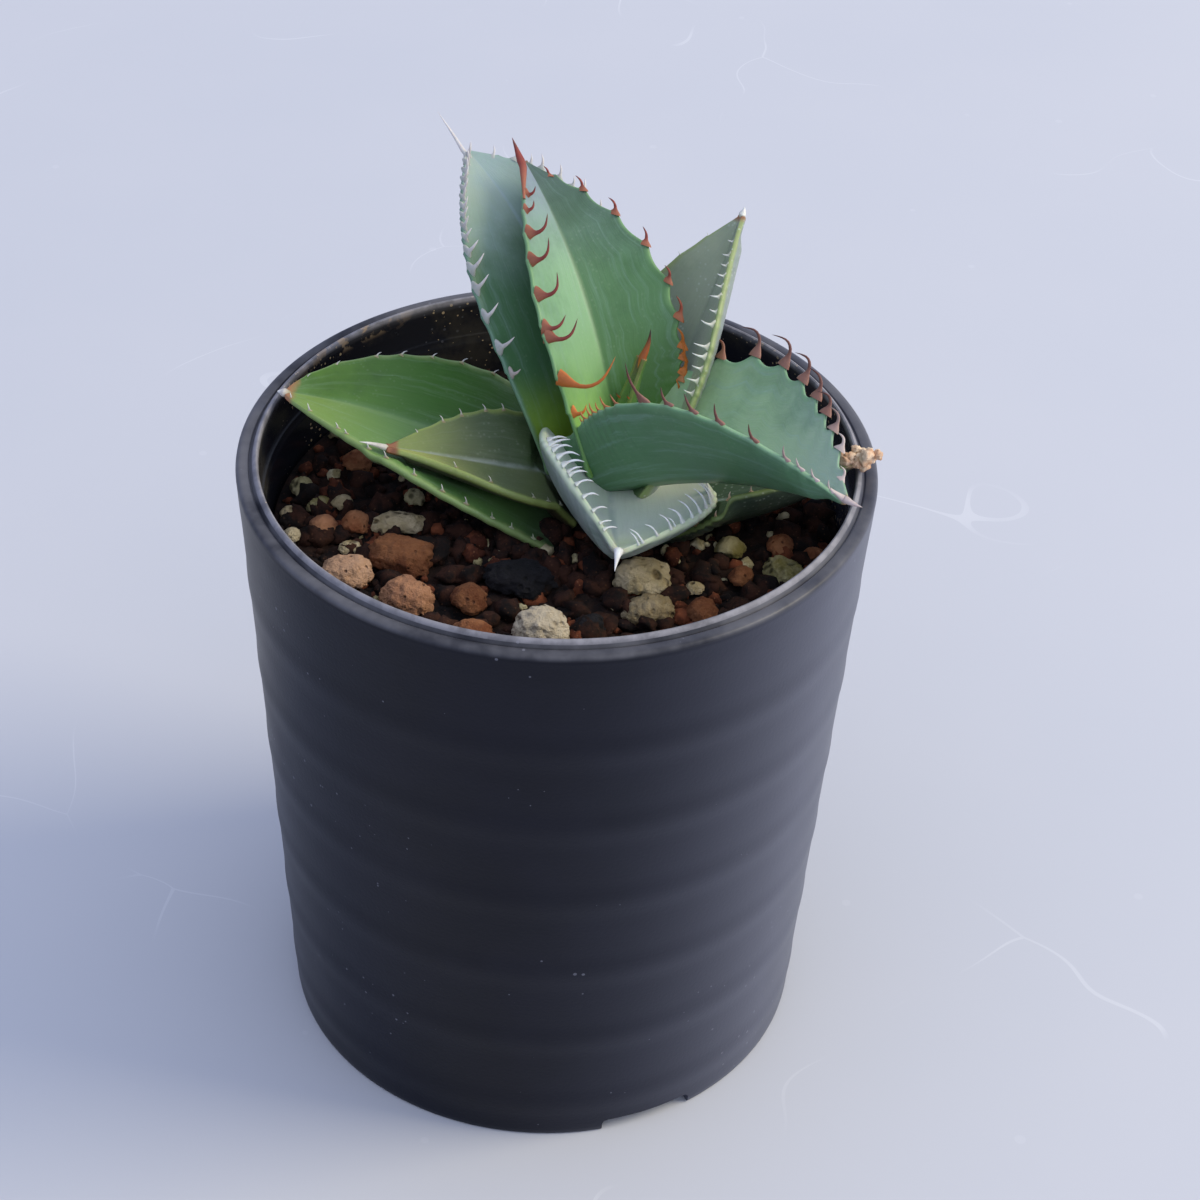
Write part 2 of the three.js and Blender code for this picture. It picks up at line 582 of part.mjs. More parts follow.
// Soil filling: a rough top with small grains grown into it, between the loose stones
function makeSoil() {
  const random = randomFrom(soil.seed);
  const topRadius = potWallRadius(soil.top) - gap;
  const profile = [
    [0, pot.floorTop + gap],
    [potWallRadius(pot.floorTop) - gap, pot.floorTop + gap],
    [topRadius, soil.top],
  ];
  for (let i = soil.rings - 1; i >= 0; i -= 1) {
    const radius = topRadius * i / soil.rings;
    profile.push([radius, soilTopAt(radius, 0)]);
  }
  const body = turned(profile, soil.segments).warp((corner) => {
    const inside = Math.hypot(corner[0], corner[1]) < topRadius - 1;
    if (corner[2] >= soil.top && inside) corner[2] -= soil.relief * random();
  });
  const places = stones.map((stone) => [...stonePlace(stone), Math.max(...stone.size) / 2]);
  let solid = body;
  for (let i = 0; i < soil.grainTries; i += 1) {
    const radius = THREE.MathUtils.lerp(soil.grainSmallest, soil.grainLargest, random());
    const distance = (topRadius - radius - gap) * Math.sqrt(random());
    const angle = random() * 2 * Math.PI;
    const x = distance * Math.cos(angle);
    const y = distance * Math.sin(angle);
    const grain = new THREE.IcosahedronGeometry(radius, 0).scale(...grainShape.size);
    grain.rotateX(random() * Math.PI).rotateZ(random() * Math.PI);
    grain.translate(x, y, soilTopAt(x, y) - radius * grainShape.sunk);
    const free = places.every(([px, py, , reach]) => (
      Math.hypot(px - x, py - y) > reach + radius * soil.crowding));
    if (free && places.length < stones.length + soil.grains) {
      places.push([x, y, 0, radius]);
      solid = solid.add(solidFrom(grain));
    }
  }
  return solid;
}

const plant = new THREE.Group();

plant.add(namedMesh('pot', makePot(), pot.colour, 0.55));
plant.add(namedMesh('stem', makeStem(0), stem.colour, 0.7));

// Every outer leaf is cut clear of the stem and of the leaves inside it
let taken = makeStem(gap);
let room = makeStem(gap);
const leafSolids = leaves.map((leaf) => {
  const solid = largestPiece(makeLeaf(leaf, 0).subtract(taken));
  taken = taken.add(makeLeaf(leaf, gap));
  room = room.add(makeLeafRoom(leaf));
  return solid;
});

// A tooth that would touch a leaf outside its own is trimmed there
leafSolids.forEach((solid, order) => {
  const trimmed = leafSolids.slice(order + 1).reduce((left, outer) => left.subtract(outer), solid);
  plant.add(namedMesh(leaves[order].name, largestPiece(trimmed), leaves[order].colour, 0.5));
});

stones.forEach((stone, order) => {
  const solid = largestPiece(makeStone(stone, order).subtract(room));
  plant.add(namedMesh(`${stone.kind}_${order + 1}`, solid, stoneColours[stone.kind], 0.9));
});

plant.add(namedMesh('soil', largestPiece(makeSoil().subtract(room)), soil.colour, 0.95));

export default plant;
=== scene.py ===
# A young Agave titanota in gravelly soil in a black nursery pot.
# Lengths in the tables are millimetres, and MM turns them into metres.
import math
import random

import bpy
from mathutils import Matrix, Vector, kdtree, noise


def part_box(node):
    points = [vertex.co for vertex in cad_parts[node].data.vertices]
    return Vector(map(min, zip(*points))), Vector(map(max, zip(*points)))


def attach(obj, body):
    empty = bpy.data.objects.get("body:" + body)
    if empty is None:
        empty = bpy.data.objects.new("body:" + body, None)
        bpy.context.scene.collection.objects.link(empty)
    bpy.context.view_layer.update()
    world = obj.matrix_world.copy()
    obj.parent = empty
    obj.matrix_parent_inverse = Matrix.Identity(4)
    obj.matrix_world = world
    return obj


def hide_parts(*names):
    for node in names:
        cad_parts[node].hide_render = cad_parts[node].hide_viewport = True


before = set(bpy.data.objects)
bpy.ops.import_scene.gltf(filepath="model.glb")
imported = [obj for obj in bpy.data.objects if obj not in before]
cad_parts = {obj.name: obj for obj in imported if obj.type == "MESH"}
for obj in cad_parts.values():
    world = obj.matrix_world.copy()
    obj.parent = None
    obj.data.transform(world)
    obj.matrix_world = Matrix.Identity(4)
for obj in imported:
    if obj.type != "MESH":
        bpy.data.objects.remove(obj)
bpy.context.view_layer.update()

MM = 0.001
DEGREE = math.pi / 180
FULL_TURN = 6.28


# Small helpers

def srgb(red, green, blue):
    """A colour picked on screen, 0 to 255, as the linear colour that shaders use."""
    channels = [value / 255 for value in (red, green, blue)]
    linear = [c / 12.92 if c <= 0.04045 else ((c + 0.055) / 1.055) ** 2.4 for c in channels]
    return (*linear, 1.0)


def random_turn(chance):
    """A turn drawn at random, about a level axis and then about the vertical."""
    about = Matrix.Rotation(chance.random() * FULL_TURN, 4, "Z")
    over = Matrix.Rotation(chance.random() * FULL_TURN, 4, "X")
    return about @ over


def lerp(pair, share):
    return pair[0] + (pair[1] - pair[0]) * share


def smooth(low, high, value):
    share = min(1.0, max(0.0, (value - low) / (high - low)))
    return share * share * (3 - 2 * share)


def only(piece):
    """Makes a piece the only one selected, and the active one."""
    bpy.ops.object.select_all(action="DESELECT")
    piece.select_set(True)
    bpy.context.view_layer.objects.active = piece


def close_mesh(piece, distance=0.00002):
    """Merges seams and poles and turns all faces outwards."""
    only(piece)
    bpy.ops.object.mode_set(mode="EDIT")
    bpy.ops.mesh.select_all(action="SELECT")
    bpy.ops.mesh.remove_doubles(threshold=distance)
    bpy.ops.mesh.normals_make_consistent(inside=False)
    bpy.ops.object.mode_set(mode="OBJECT")


def settle(piece, name, material, slot_name, *nodes):
    """Names a finished piece, gives it its material and puts it in the frame."""
    only(piece)
    bpy.ops.object.transform_apply(location=True, rotation=True, scale=True)
    piece.name = name
    piece.data.name = name
    piece.data.materials.clear()
    piece.data.materials.append(material)
    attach(piece, "root")
    if nodes:
        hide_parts(*nodes)


def use_modifier(piece, kind, **settings):
    only(piece)
    bpy.ops.object.modifier_add(type=kind)
    modifier = piece.modifiers[-1]
    for key, value in settings.items():
        setattr(modifier, key, value)
    bpy.ops.object.modifier_apply(modifier=modifier.name)


def mark(piece, name, values):
    """Keeps one number for each vertex, for the materials to read."""
    attribute = piece.data.attributes.new(name=name, type="FLOAT", domain="POINT")
    attribute.data.foreach_set("value", values)


def join(pieces):
    only(pieces[0])
    for piece in pieces:
        piece.select_set(True)
    bpy.ops.object.join()
    return bpy.context.object


def copy_of(piece):
    """A copy with its own mesh."""
    twin = piece.copy()
    twin.data = piece.data.copy()
    bpy.context.scene.collection.objects.link(twin)
    return twin


# Shader building

class Shader:
    """Adds nodes to a tree in a few words."""

    def __init__(self, tree):
        self.tree = tree

    def add(self, kind, settings=None, **inputs):
        node = self.tree.nodes.new(kind)
        for key, value in (settings or {}).items():
            setattr(node, key, value)
        for key, value in inputs.items():
            self.feed(node.inputs[key.replace("_", " ")], value)
        return node

    def feed(self, socket, value):
        if isinstance(value, bpy.types.NodeSocket):
            self.tree.links.new(value, socket)
        else:
            socket.default_value = value

    def attribute(self, name):
        return self.add("ShaderNodeAttribute", {"attribute_name": name}).outputs["Fac"]

    def math(self, operation, *values, clamp=False):
        node = self.add("ShaderNodeMath", {"operation": operation, "use_clamp": clamp})
        for socket, value in zip(node.inputs, values):
            self.feed(socket, value)
        return node.outputs[0]

    def step(self, value, low, high):
        node = self.add("ShaderNodeMapRange", {"interpolation_type": "SMOOTHSTEP"})
        for name, setting in (("Value", value), ("From Min", low), ("From Max", high)):
            self.feed(node.inputs[name], setting)
        return node.outputs["Result"]

    def mix(self, share, first, second, blend="MIX"):
        node = self.add("ShaderNodeMix", {"data_type": "RGBA", "blend_type": blend})
        colour_sockets = [socket for socket in node.inputs if socket.type == "RGBA"]
        self.feed(node.inputs["Factor"], share)
        self.feed(colour_sockets[0], first)
        self.feed(colour_sockets[1], second)
        return next(socket for socket in node.outputs if socket.type == "RGBA")

    def tinted(self, colour, tint):
        """A colour multiplied by a tint."""
        return self.mix(1.0, colour, tint, "MULTIPLY")

    def places(self):
        return self.add("ShaderNodeTexCoord").outputs["Object"]

    def noise(self, scale, detail=4.0, roughness=0.55, vector=None):
        settings = {"Scale": scale, "Detail": detail, "Roughness": roughness}
        node = self.add("ShaderNodeTexNoise", None, **settings)
        self.feed(node.inputs["Vector"], vector or self.places())
        return node.outputs[0]

    def cells(self, scale, feature="F1", vector=None):
        node = self.add("ShaderNodeTexVoronoi", {"feature": feature}, Scale=scale)
        self.feed(node.inputs["Vector"], vector or self.places())
        return node.outputs["Distance"]

    def stretched(self, scale):
        node = self.add("ShaderNodeMapping", None, Vector=self.places())
        node.inputs["Scale"].default_value = scale
        return node.outputs["Vector"]


def new_group(name, inputs, outputs):
    """An empty shader node group with named inputs and outputs."""
    tree = bpy.data.node_groups.new(name, "ShaderNodeTree")
    kinds = {"colour": "NodeSocketColor", "value": "NodeSocketFloat", "normal": "NodeSocketVector"}
    for label, kind, start in inputs:
        socket = tree.interface.new_socket(name=label, in_out="INPUT", socket_type=kinds[kind])
        socket.default_value = start
    for label, kind in outputs:
        tree.interface.new_socket(name=label, in_out="OUTPUT", socket_type=kinds[kind])
    shader = Shader(tree)
    entry = shader.add("NodeGroupInput")
    leave = shader.add("NodeGroupOutput")
    return tree, shader, entry.outputs, leave.inputs


def place_group(shader, tree, **inputs):
    node = shader.add("ShaderNodeGroup", {"node_tree": tree})
    for key, value in inputs.items():
        shader.feed(node.inputs[key.replace("_", " ")], value)
    return node.outputs


def new_material(name, **constants):
    """A material with its Principled shader; constants are set on the shader's own sockets."""
    material = bpy.data.materials.new(name)
    material.use_nodes = True
    shader = Shader(material.node_tree)
    principled = material.node_tree.nodes["Principled BSDF"]
    for key, value in constants.items():
        principled.inputs[key.replace("_", " ")].default_value = value
    return material, shader, principled


def bump(shader, principled, height, strength, distance):
    node = shader.add("ShaderNodeBump", None, Height=height, Strength=strength, Distance=distance)
    shader.feed(principled.inputs["Normal"], node.outputs["Normal"])


def let_light_in(principled, weight, radius, depth):
    """Light that sinks a little way under the skin; depth in millimetres."""
    principled.inputs["Subsurface Weight"].default_value = weight
    principled.inputs["Subsurface Radius"].default_value = radius
    principled.inputs["Subsurface Scale"].default_value = depth * MM


def make_dust_group():
    """Fine pale specks of dust, thicker in patches."""
    inputs = [("Speck Scale", "value", 900.0), ("Amount", "value", 0.5), ("Patch Scale", "value", 40.0)]
    tree, s, given, out = new_group("dust_specks", inputs, [("Mask", "value")])
    specks = s.cells(given["Speck Scale"])
    patches = s.noise(given["Patch Scale"], 3.0)
    reach = s.math("MULTIPLY", s.step(patches, 0.42, 0.72), given["Amount"])
    limit = s.math("MULTIPLY", reach, 0.34)
    s.feed(out["Mask"], s.math("LESS_THAN", specks, limit))
    return tree


def make_mottle_group():
    """Cloudy variation between two colours."""
    inputs = [
        ("First", "colour", (0.2, 0.2, 0.2, 1)),
        ("Second", "colour", (0.4, 0.4, 0.4, 1)),
        ("Scale", "value", 100.0),
        ("Low", "value", 0.35),
        ("High", "value", 0.65),
    ]
    tree, s, given, out = new_group("mottle", inputs, [("Color", "colour"), ("Value", "value")])
    cloud = s.noise(given["Scale"], 5.0, 0.6)
    share = s.step(cloud, given["Low"], given["High"])
    s.feed(out["Color"], s.mix(share, given["First"], given["Second"]))
    s.feed(out["Value"], share)
    return tree


def make_leaf_group():
    """Leaf skin: colours along the leaf, painted light and shade on each half, margin, midrib, bloom, veins,
    brown tip.
    """
    inputs = [
        ("Root", "colour", (0.2, 0.4, 0.1, 1)),
        ("Middle", "colour", (0.1, 0.3, 0.15, 1)),
        ("Tip", "colour", (0.2, 0.4, 0.4, 1)),
        ("Under", "colour", (0.1, 0.3, 0.2, 1)),
        ("Minus Tint", "colour", (1, 1, 1, 1)),
        ("Plus Tint", "colour", (1, 1, 1, 1)),
        ("Edge", "colour", (0.3, 0.5, 0.1, 1)),
        ("Edge Width", "value", 0.08),
        ("Edge Strength", "value", 0.7),
        ("Midrib", "colour", (0.5, 0.6, 0.6, 1)),
        ("Midrib Strength", "value", 0.4),
        ("Midrib Width", "value", 0.07),
        ("Bloom", "colour", (0.5, 0.6, 0.6, 1)),
        ("Bloom Amount", "value", 0.3),
        ("Bloom From", "value", 0.2),
        ("Vein Strength", "value", 0.12),
        ("Root Reach", "value", 0.35),
        ("Speckle", "value", 0.05),
        ("Mottle", "value", 0.45),
        ("Print", "value", 0.22),
        ("Dry", "colour", (0.3, 0.15, 0.06, 1)),
        ("Dry From", "value", 0.97),
    ]
    outputs = [("Color", "colour"), ("Roughness", "value"), ("Height", "value")]
    tree, s, given, out = new_group("leaf_skin", inputs, outputs)
    along = s.attribute("along")
    side = s.attribute("side")
    reach = s.math("ABSOLUTE", side)
    under = s.step(s.attribute("under"), 0.3, 0.7)

    clouds = s.noise(150.0, 5.0, 0.6)
    broad = s.noise(45.0, 2.0, 0.5)
    drift = s.math("MULTIPLY", s.math("SUBTRACT", broad, 0.5), 0.25)
    spot = s.math("ADD", along, drift)
    upper = s.mix(s.step(spot, 0.02, given["Root Reach"]), given["Root"], given["Middle"])
    upper = s.mix(s.step(spot, 0.5, 1.0), upper, given["Tip"])
    # Painted light and shade: each half of the leaf is multiplied by its own tint, brighter on the half
    # facing the lamp, darker on the half in shadow
    tint = s.mix(s.step(side, -0.03, 0.03), given["Minus Tint"], given["Plus Tint"])
    upper = s.tinted(upper, tint)
    body = s.mix(under, upper, given["Under"])

    def lengthwise(across_scale, along_scale):
        """Places drawn out along the leaf, for lines that run from root to tip."""
        return s.add("ShaderNodeCombineXYZ", None, X=s.math("MULTIPLY", side, across_scale),
                     Y=s.math("MULTIPLY", along, along_scale)).outputs[0]

    veins = s.noise(1.0, 4.0, 0.65, lengthwise(24.0, 2.5))
    vein_share = s.math("MULTIPLY", s.step(veins, 0.4, 0.68), given["Vein Strength"])
    body = s.mix(vein_share, body, s.tinted(body, (0.55, 0.62, 0.5, 1)))

    patchy = s.math("MULTIPLY", s.step(clouds, 0.25, 0.75), s.step(broad, 0.3, 0.65))
    film = s.math("MULTIPLY", patchy, s.step(spot, given["Bloom From"], 0.95))
    film = s.math("MULTIPLY", film, given["Bloom Amount"], clamp=True)
    body = s.mix(film, body, given["Bloom"])

    shade = s.math("MULTIPLY", s.step(s.noise(95.0, 6.0, 0.65), 0.45, 0.72), given["Mottle"])
    body = s.mix(shade, body, s.tinted(body, (0.45, 0.55, 0.5, 1)))
    prints = s.step(s.noise(1.0, 5.0, 0.7, lengthwise(7.0, 1.6)), 0.5, 0.68)
    body = s.mix(s.math("MULTIPLY", prints, given["Print"]), body, given["Bloom"])

    ridge = s.math("SUBTRACT", 1.0, s.step(reach, 0.0, given["Midrib Width"]))
    ridge = s.math("MULTIPLY", ridge, s.step(clouds, 0.3, 0.55))
    ridge = s.math("MULTIPLY", ridge, s.math("SUBTRACT", 1.0, under))
    body = s.mix(s.math("MULTIPLY", ridge, given["Midrib Strength"]), body, given["Midrib"])

    start = s.math("SUBTRACT", 1.0, given["Edge Width"])
    wobble = s.math("MULTIPLY", s.math("SUBTRACT", s.noise(400.0, 3.0), 0.5), 0.12)
    rim = s.step(s.math("ADD", reach, wobble), start, 1.0)
    body = s.mix(s.math("MULTIPLY", rim, given["Edge Strength"]), body, given["Edge"])

    dots = s.math("SUBTRACT", 1.0, s.step(s.cells(1500.0), 0.1, 0.32))
    grains = s.math("MULTIPLY", s.math("MULTIPLY", dots, s.step(clouds, 0.4, 0.6)), given["Speckle"])
    body = s.mix(grains, body, (0.62, 0.68, 0.58, 1))

    ragged = s.math("ADD", along, s.math("MULTIPLY", s.math("SUBTRACT", s.noise(350.0, 4.0), 0.5), 0.06))
    late = s.math("ADD", given["Dry From"], 0.03)
    body = s.mix(s.step(ragged, given["Dry From"], late), body, given["Dry"])

    s.feed(out["Color"], body)
    s.feed(out["Roughness"], s.math("ADD", 0.42, s.math("MULTIPLY", film, 0.35)))
    grain = s.math("MULTIPLY", s.noise(1600.0, 3.0), 0.3)
    dents = s.math("MULTIPLY", broad, 2.0)
    s.feed(out["Height"], s.math("ADD", s.math("ADD", grain, dents), s.math("MULTIPLY", veins, 0.5)))
    return tree


dust_specks = make_dust_group()
mottle = make_mottle_group()
leaf_skin = make_leaf_group()


# Camera, light and floor

CAMERA = {"place": (5.654, -271.239, 271.902), "elevation": 38.02, "roll": 2.49, "lens": 84.97,
          "sensor": 36.0}
SKY = {"dim": (0.31, 0.37, 0.59, 1), "bright": (0.89, 0.97, 1.2, 1), "rise": 0.9, "front": 0.6}
WINDOW = {"heading": 1, "rise": 37, "distance": 2.2, "size": 1.0, "power": 35, "colour": (1.0, 0.885, 0.62)}
LIT_HEIGHT = 70


def make_camera():
    """The camera, placed and turned as the photographer's was."""
    elevation = CAMERA["elevation"] * DEGREE
    roll = CAMERA["roll"] * DEGREE
    back = Vector((0, -math.cos(elevation), math.sin(elevation)))
    up = Vector((0, math.sin(elevation), math.cos(elevation)))
    level = Vector((1, 0, 0))
    right = math.cos(roll) * level + math.sin(roll) * up
    top = -math.sin(roll) * level + math.cos(roll) * up
    data = bpy.data.cameras.new("camera")
    data.sensor_fit = "HORIZONTAL"
    data.sensor_width = CAMERA["sensor"]
    data.lens = CAMERA["lens"]
    data.clip_start = 0.01
    camera = bpy.data.objects.new("camera", data)
    bpy.context.scene.collection.objects.link(camera)
    turn = Matrix((right, top, back)).transposed().to_4x4()
    camera.matrix_world = Matrix.Translation(Vector(CAMERA["place"]) * MM) @ turn
    bpy.context.scene.camera = camera


def add_light(name, light_row):
    """A square soft light that faces the plant from a compass heading and a rise above level."""
    heading = light_row["heading"] * DEGREE
    rise = light_row["rise"] * DEGREE
    direction = Vector((math.cos(rise) * math.cos(heading), math.cos(rise) * math.sin(heading),
                        math.sin(rise)))
    data = bpy.data.lights.new(name, "AREA")
    data.size = light_row["size"]
    data.energy = light_row["power"]
    data.color = light_row["colour"]
    light = bpy.data.objects.new(name, data)
    bpy.context.scene.collection.objects.link(light)
    light.location = direction * light_row["distance"] + Vector((0, 0, LIT_HEIGHT * MM))
    light.rotation_euler = direction.to_track_quat("Z", "Y").to_euler()


def make_world():
    """Soft light from all round, brighter above, in front and to the right."""
    world = bpy.data.worlds.new("studio")
    world.use_nodes = True
    shader = Shader(world.node_tree)
    background = world.node_tree.nodes["Background"]
    direction = shader.add("ShaderNodeTexCoord").outputs["Generated"]
    split = shader.add("ShaderNodeSeparateXYZ", None, Vector=direction)
    side = shader.math("ADD", split.outputs["X"], shader.math("MULTIPLY", split.outputs["Z"], SKY["rise"]))
    side = shader.math("SUBTRACT", side, shader.math("MULTIPLY", split.outputs["Y"], SKY["front"]))
    share = shader.step(side, -0.9, 1.3)
    colour = shader.mix(share, SKY["dim"], SKY["bright"])
    shader.feed(background.inputs["Color"], colour)
    background.inputs["Strength"].default_value = 1.0
    bpy.context.scene.world = world


def make_floor():
    """A pale tabletop with faint dots and thin broken scratches."""
    material, s, principled = new_material("pale_floor", Roughness=0.55)
    principled.inputs["Specular IOR Level"].default_value = 0.25
    base = s.mix(s.step(s.noise(9.0, 4.0), 0.3, 0.7), (0.545, 0.563, 0.615, 1), (0.565, 0.578, 0.625, 1))
    dots = s.math("LESS_THAN", s.cells(70.0), 0.05)
    base = s.mix(s.math("MULTIPLY", dots, 0.12), base, (0.75, 0.76, 0.8, 1))
    threads = s.add("ShaderNodeTexVoronoi", {"feature": "DISTANCE_TO_EDGE"}, Scale=9.0)
    bent = s.add("ShaderNodeVectorMath", {"operation": "ADD"})
    s.feed(bent.inputs[0], s.places())
    wander = s.add("ShaderNodeTexNoise", None, Scale=14.0, Detail=2.0)
    s.feed(wander.inputs["Vector"], s.places())
    s.feed(bent.inputs[1], s.tinted(wander.outputs[1], (0.12, 0.12, 0.12, 1)))
    s.feed(threads.inputs["Vector"], bent.outputs[0])
    scratch = s.math("LESS_THAN", threads.outputs["Distance"], 0.0016)
    broken = s.step(s.noise(22.0, 2.0), 0.52, 0.6)
    base = s.mix(s.math("MULTIPLY", s.math("MULTIPLY", scratch, broken), 0.25), base, (0.8, 0.81, 0.84, 1))
    s.feed(principled.inputs["Base Color"], base)
    bpy.ops.object.select_all(action="DESELECT")
    bpy.ops.mesh.primitive_plane_add(size=6, location=(0, 0, 0))
    floor = bpy.context.object
    floor.name = "floor"
    floor.data.materials.append(material)


make_camera()
make_world()
add_light("window", WINDOW)
make_floor()
bpy.context.scene.view_settings.view_transform = "Standard"


# Pot

POT = {
    "height": 81.0, "base": 32.8, "top": 37.5, "rim_inner": 34.8, "bead": 0.7, "groove": 35.9,
    "ledge_bottom": 75.6, "ledge_radius": 34.1, "floor_inner": 30.4, "floor_top": 4.4,
    "floor_under": 2.2, "rib_pitch": 12.2, "rib_height": 0.13, "rib_first": 5.5,
    "notches": (-64, 56, 176), "notch_width": 12.0, "notch_height": 1.9,
    "hole_circle": 18.0, "hole_radius": 3.2, "holes": 6, "steps": 192,
}


def pot_outside(height):
    """Radius of the pot's outer wall, with its low level ribs."""
    share = height / POT["height"]
    wave = math.cos(2 * math.pi * (height - POT["rib_first"]) / POT["rib_pitch"])
    fade = smooth(1.5, 5.0, height) * (1 - smooth(73.0, 79.0, height))
    rib = POT["rib_height"] * fade * (max(0.0, wave) ** 2 - 0.35)
    return lerp((POT["base"], POT["top"]), share) + rib


def pot_inside(height):
    """Radius of the pot's inner wall below the ledge."""
    share = (height - POT["floor_top"]) / (POT["ledge_bottom"] - POT["floor_top"])
    return lerp((POT["floor_inner"], POT["ledge_radius"]), share)


def spin_profile(name, profile, steps):
    """A turned shape: a vertex is extruded along the profile and spun about the vertical axis."""
    bpy.ops.object.select_all(action="DESELECT")
    bpy.ops.mesh.primitive_plane_add(size=0.001)
    piece = bpy.context.object
    piece.name = name
    bpy.ops.object.mode_set(mode="EDIT")
    bpy.ops.mesh.select_all(action="SELECT")
    bpy.ops.mesh.merge(type="CENTER")
    start = Vector((profile[0][0], 0, profile[0][1])) * MM
    bpy.ops.transform.translate(value=start)
    for (radius, height), (next_radius, next_height) in zip(profile, profile[1:]):
        move = Vector((next_radius - radius, 0, next_height - height)) * MM
        bpy.ops.mesh.extrude_region_move(TRANSFORM_OT_translate={"value": move})
    bpy.ops.mesh.select_all(action="SELECT")
    bpy.ops.mesh.spin(steps=steps, angle=2 * math.pi, center=(0, 0, 0), axis=(0, 0, 1))
    bpy.ops.object.mode_set(mode="OBJECT")
    close_mesh(piece)
    return piece


def cut(piece, cutter):
    """Takes one piece out of another and removes the cutter."""
    use_modifier(piece, "BOOLEAN", operation="DIFFERENCE", object=cutter, solver="EXACT")
    bpy.data.objects.remove(cutter)


POT_LOOK = {
    "deep": (0.0015, 0.0025, 0.008, 1), "black": (0.003, 0.004, 0.011, 1), "painted_reflection": (0.085, 0.092, 0.13, 1),
    "rim": (0.12, 0.12, 0.135, 1), "lining": (0.014, 0.015, 0.018, 1), "speck": srgb(150, 152, 165),
    "dirt": srgb(70, 66, 56), "crumb": srgb(190, 168, 132), "bead_highlight": srgb(160, 158, 164),
    "spill": srgb(186, 160, 128),
}


def soil_the_inside(s, base, inside):
    """Dull lining, with dirt in patches and dry crumbs on it."""
    base = s.mix(s.math("MULTIPLY", inside, 0.6), base, POT_LOOK["lining"])
    dirt = s.math("MULTIPLY", inside, s.step(s.noise(110.0, 6.0, 0.65), 0.5, 0.66))
    base = s.mix(s.math("MULTIPLY", dirt, 0.35), base, POT_LOOK["dirt"])
    crumbs = place_group(s, dust_specks, Speck_Scale=1300.0, Amount=1.0, Patch_Scale=75.0)["Mask"]
    return s.mix(s.math("MULTIPLY", s.math("MULTIPLY", crumbs, inside), 0.7), base, POT_LOOK["crumb"])


def spill_mask(s, split, radius):
    """Where a little tan soil has dried on the rim at the back left."""
    height = split.outputs["Z"]
    corner = s.math("MULTIPLY", s.step(split.outputs["X"], -0.018, -0.026),
                    s.step(split.outputs["Y"], 0.012, 0.026))
    spill = s.math("MULTIPLY", s.math("MULTIPLY", corner, s.step(height, 0.0795, 0.081)),
                   s.step(s.noise(420.0, 4.0), 0.52, 0.6))
    return s.math("MULTIPLY", spill, s.step(radius, 0.0358, 0.0352))


def pot_material():
    """Dull black plastic with a painted reflection of the lit floor on the right, a worn rim top, a painted
    highlight on the bead and a dirty inside.
    """
    material, s, principled = new_material("black_pot_plastic", Roughness=0.34)
    principled.inputs["Specular IOR Level"].default_value = 0.2
    dark = place_group(s, mottle, First=POT_LOOK["deep"], Second=POT_LOOK["black"], Scale=60.0)["Color"]
    facing = s.add("ShaderNodeLayerWeight", None, Blend=0.5).outputs["Facing"]
    grazing = s.add("ShaderNodeMapRange", {"clamp": True}, Value=facing)
    grazing.inputs["From Min"].default_value = 0.2
    grazing.inputs["From Max"].default_value = 0.72
    split = s.add("ShaderNodeSeparateXYZ", None, Vector=s.places())
    height = split.outputs["Z"]
    radius = s.math("SQRT", s.math("ADD", s.math("POWER", split.outputs["X"], 2.0),
                                   s.math("POWER", split.outputs["Y"], 2.0)))
    # Painted reflection: the colour lightens towards the grazing edge on the right side, standing in for the
    # lit floor mirrored in the plastic
    painted_reflection = s.math("MULTIPLY", grazing.outputs["Result"], s.step(split.outputs["X"], -0.006, 0.03))
    base = s.mix(painted_reflection, dark, POT_LOOK["painted_reflection"])
    top = s.math("MULTIPLY", s.step(height, 0.0802, 0.0809), s.step(s.noise(130.0, 4.0), 0.2, 0.7))
    base = s.mix(top, base, POT_LOOK["rim"])
    specks = place_group(s, dust_specks, Speck_Scale=620.0, Amount=0.42, Patch_Scale=55.0)["Mask"]
    base = s.mix(s.math("MULTIPLY", specks, 0.3), base, POT_LOOK["speck"])
    inside = s.math("MULTIPLY", s.math("LESS_THAN", radius, 0.0351), s.math("GREATER_THAN", height, 0.06))
    base = soil_the_inside(s, base, inside)
    # Painted highlight: a whitish line along the crest of the bead, broken in patches, with roughness raised
    # there too
    on_bead = s.math("LESS_THAN", s.math("ABSOLUTE", s.math("SUBTRACT", radius, 0.03505)), 0.0005)
    crest = s.math("MULTIPLY", s.step(height, 0.0808, 0.0815), on_bead)
    highlight_breaks = s.math("ADD", 0.45, s.math("MULTIPLY", s.step(s.noise(500.0, 5.0), 0.35, 0.65), 0.5))
    bead_highlight = s.math("MULTIPLY", crest, highlight_breaks)
    base = s.mix(s.math("MULTIPLY", bead_highlight, 0.75), base, POT_LOOK["bead_highlight"])
    base = s.mix(s.math("MULTIPLY", spill_mask(s, split, radius), 0.8), base, POT_LOOK["spill"])
    s.feed(principled.inputs["Base Color"], base)
    rough = s.math("ADD", 0.3, s.math("MULTIPLY", s.noise(90.0, 5.0), 0.12))
    rough = s.math("ADD", rough, s.math("MULTIPLY", bead_highlight, 0.3))
    s.feed(principled.inputs["Roughness"], s.math("SUBTRACT", rough, s.math("MULTIPLY", inside, 0.1)))
    scratches = s.noise(1.0, 4.0, 0.7, s.stretched((260.0, 260.0, 2600.0)))
    fine = s.math("ADD", s.math("MULTIPLY", scratches, 0.5), s.noise(2200.0, 2.0))
    bump(s, principled, fine, 0.18, 0.0001)
    return material


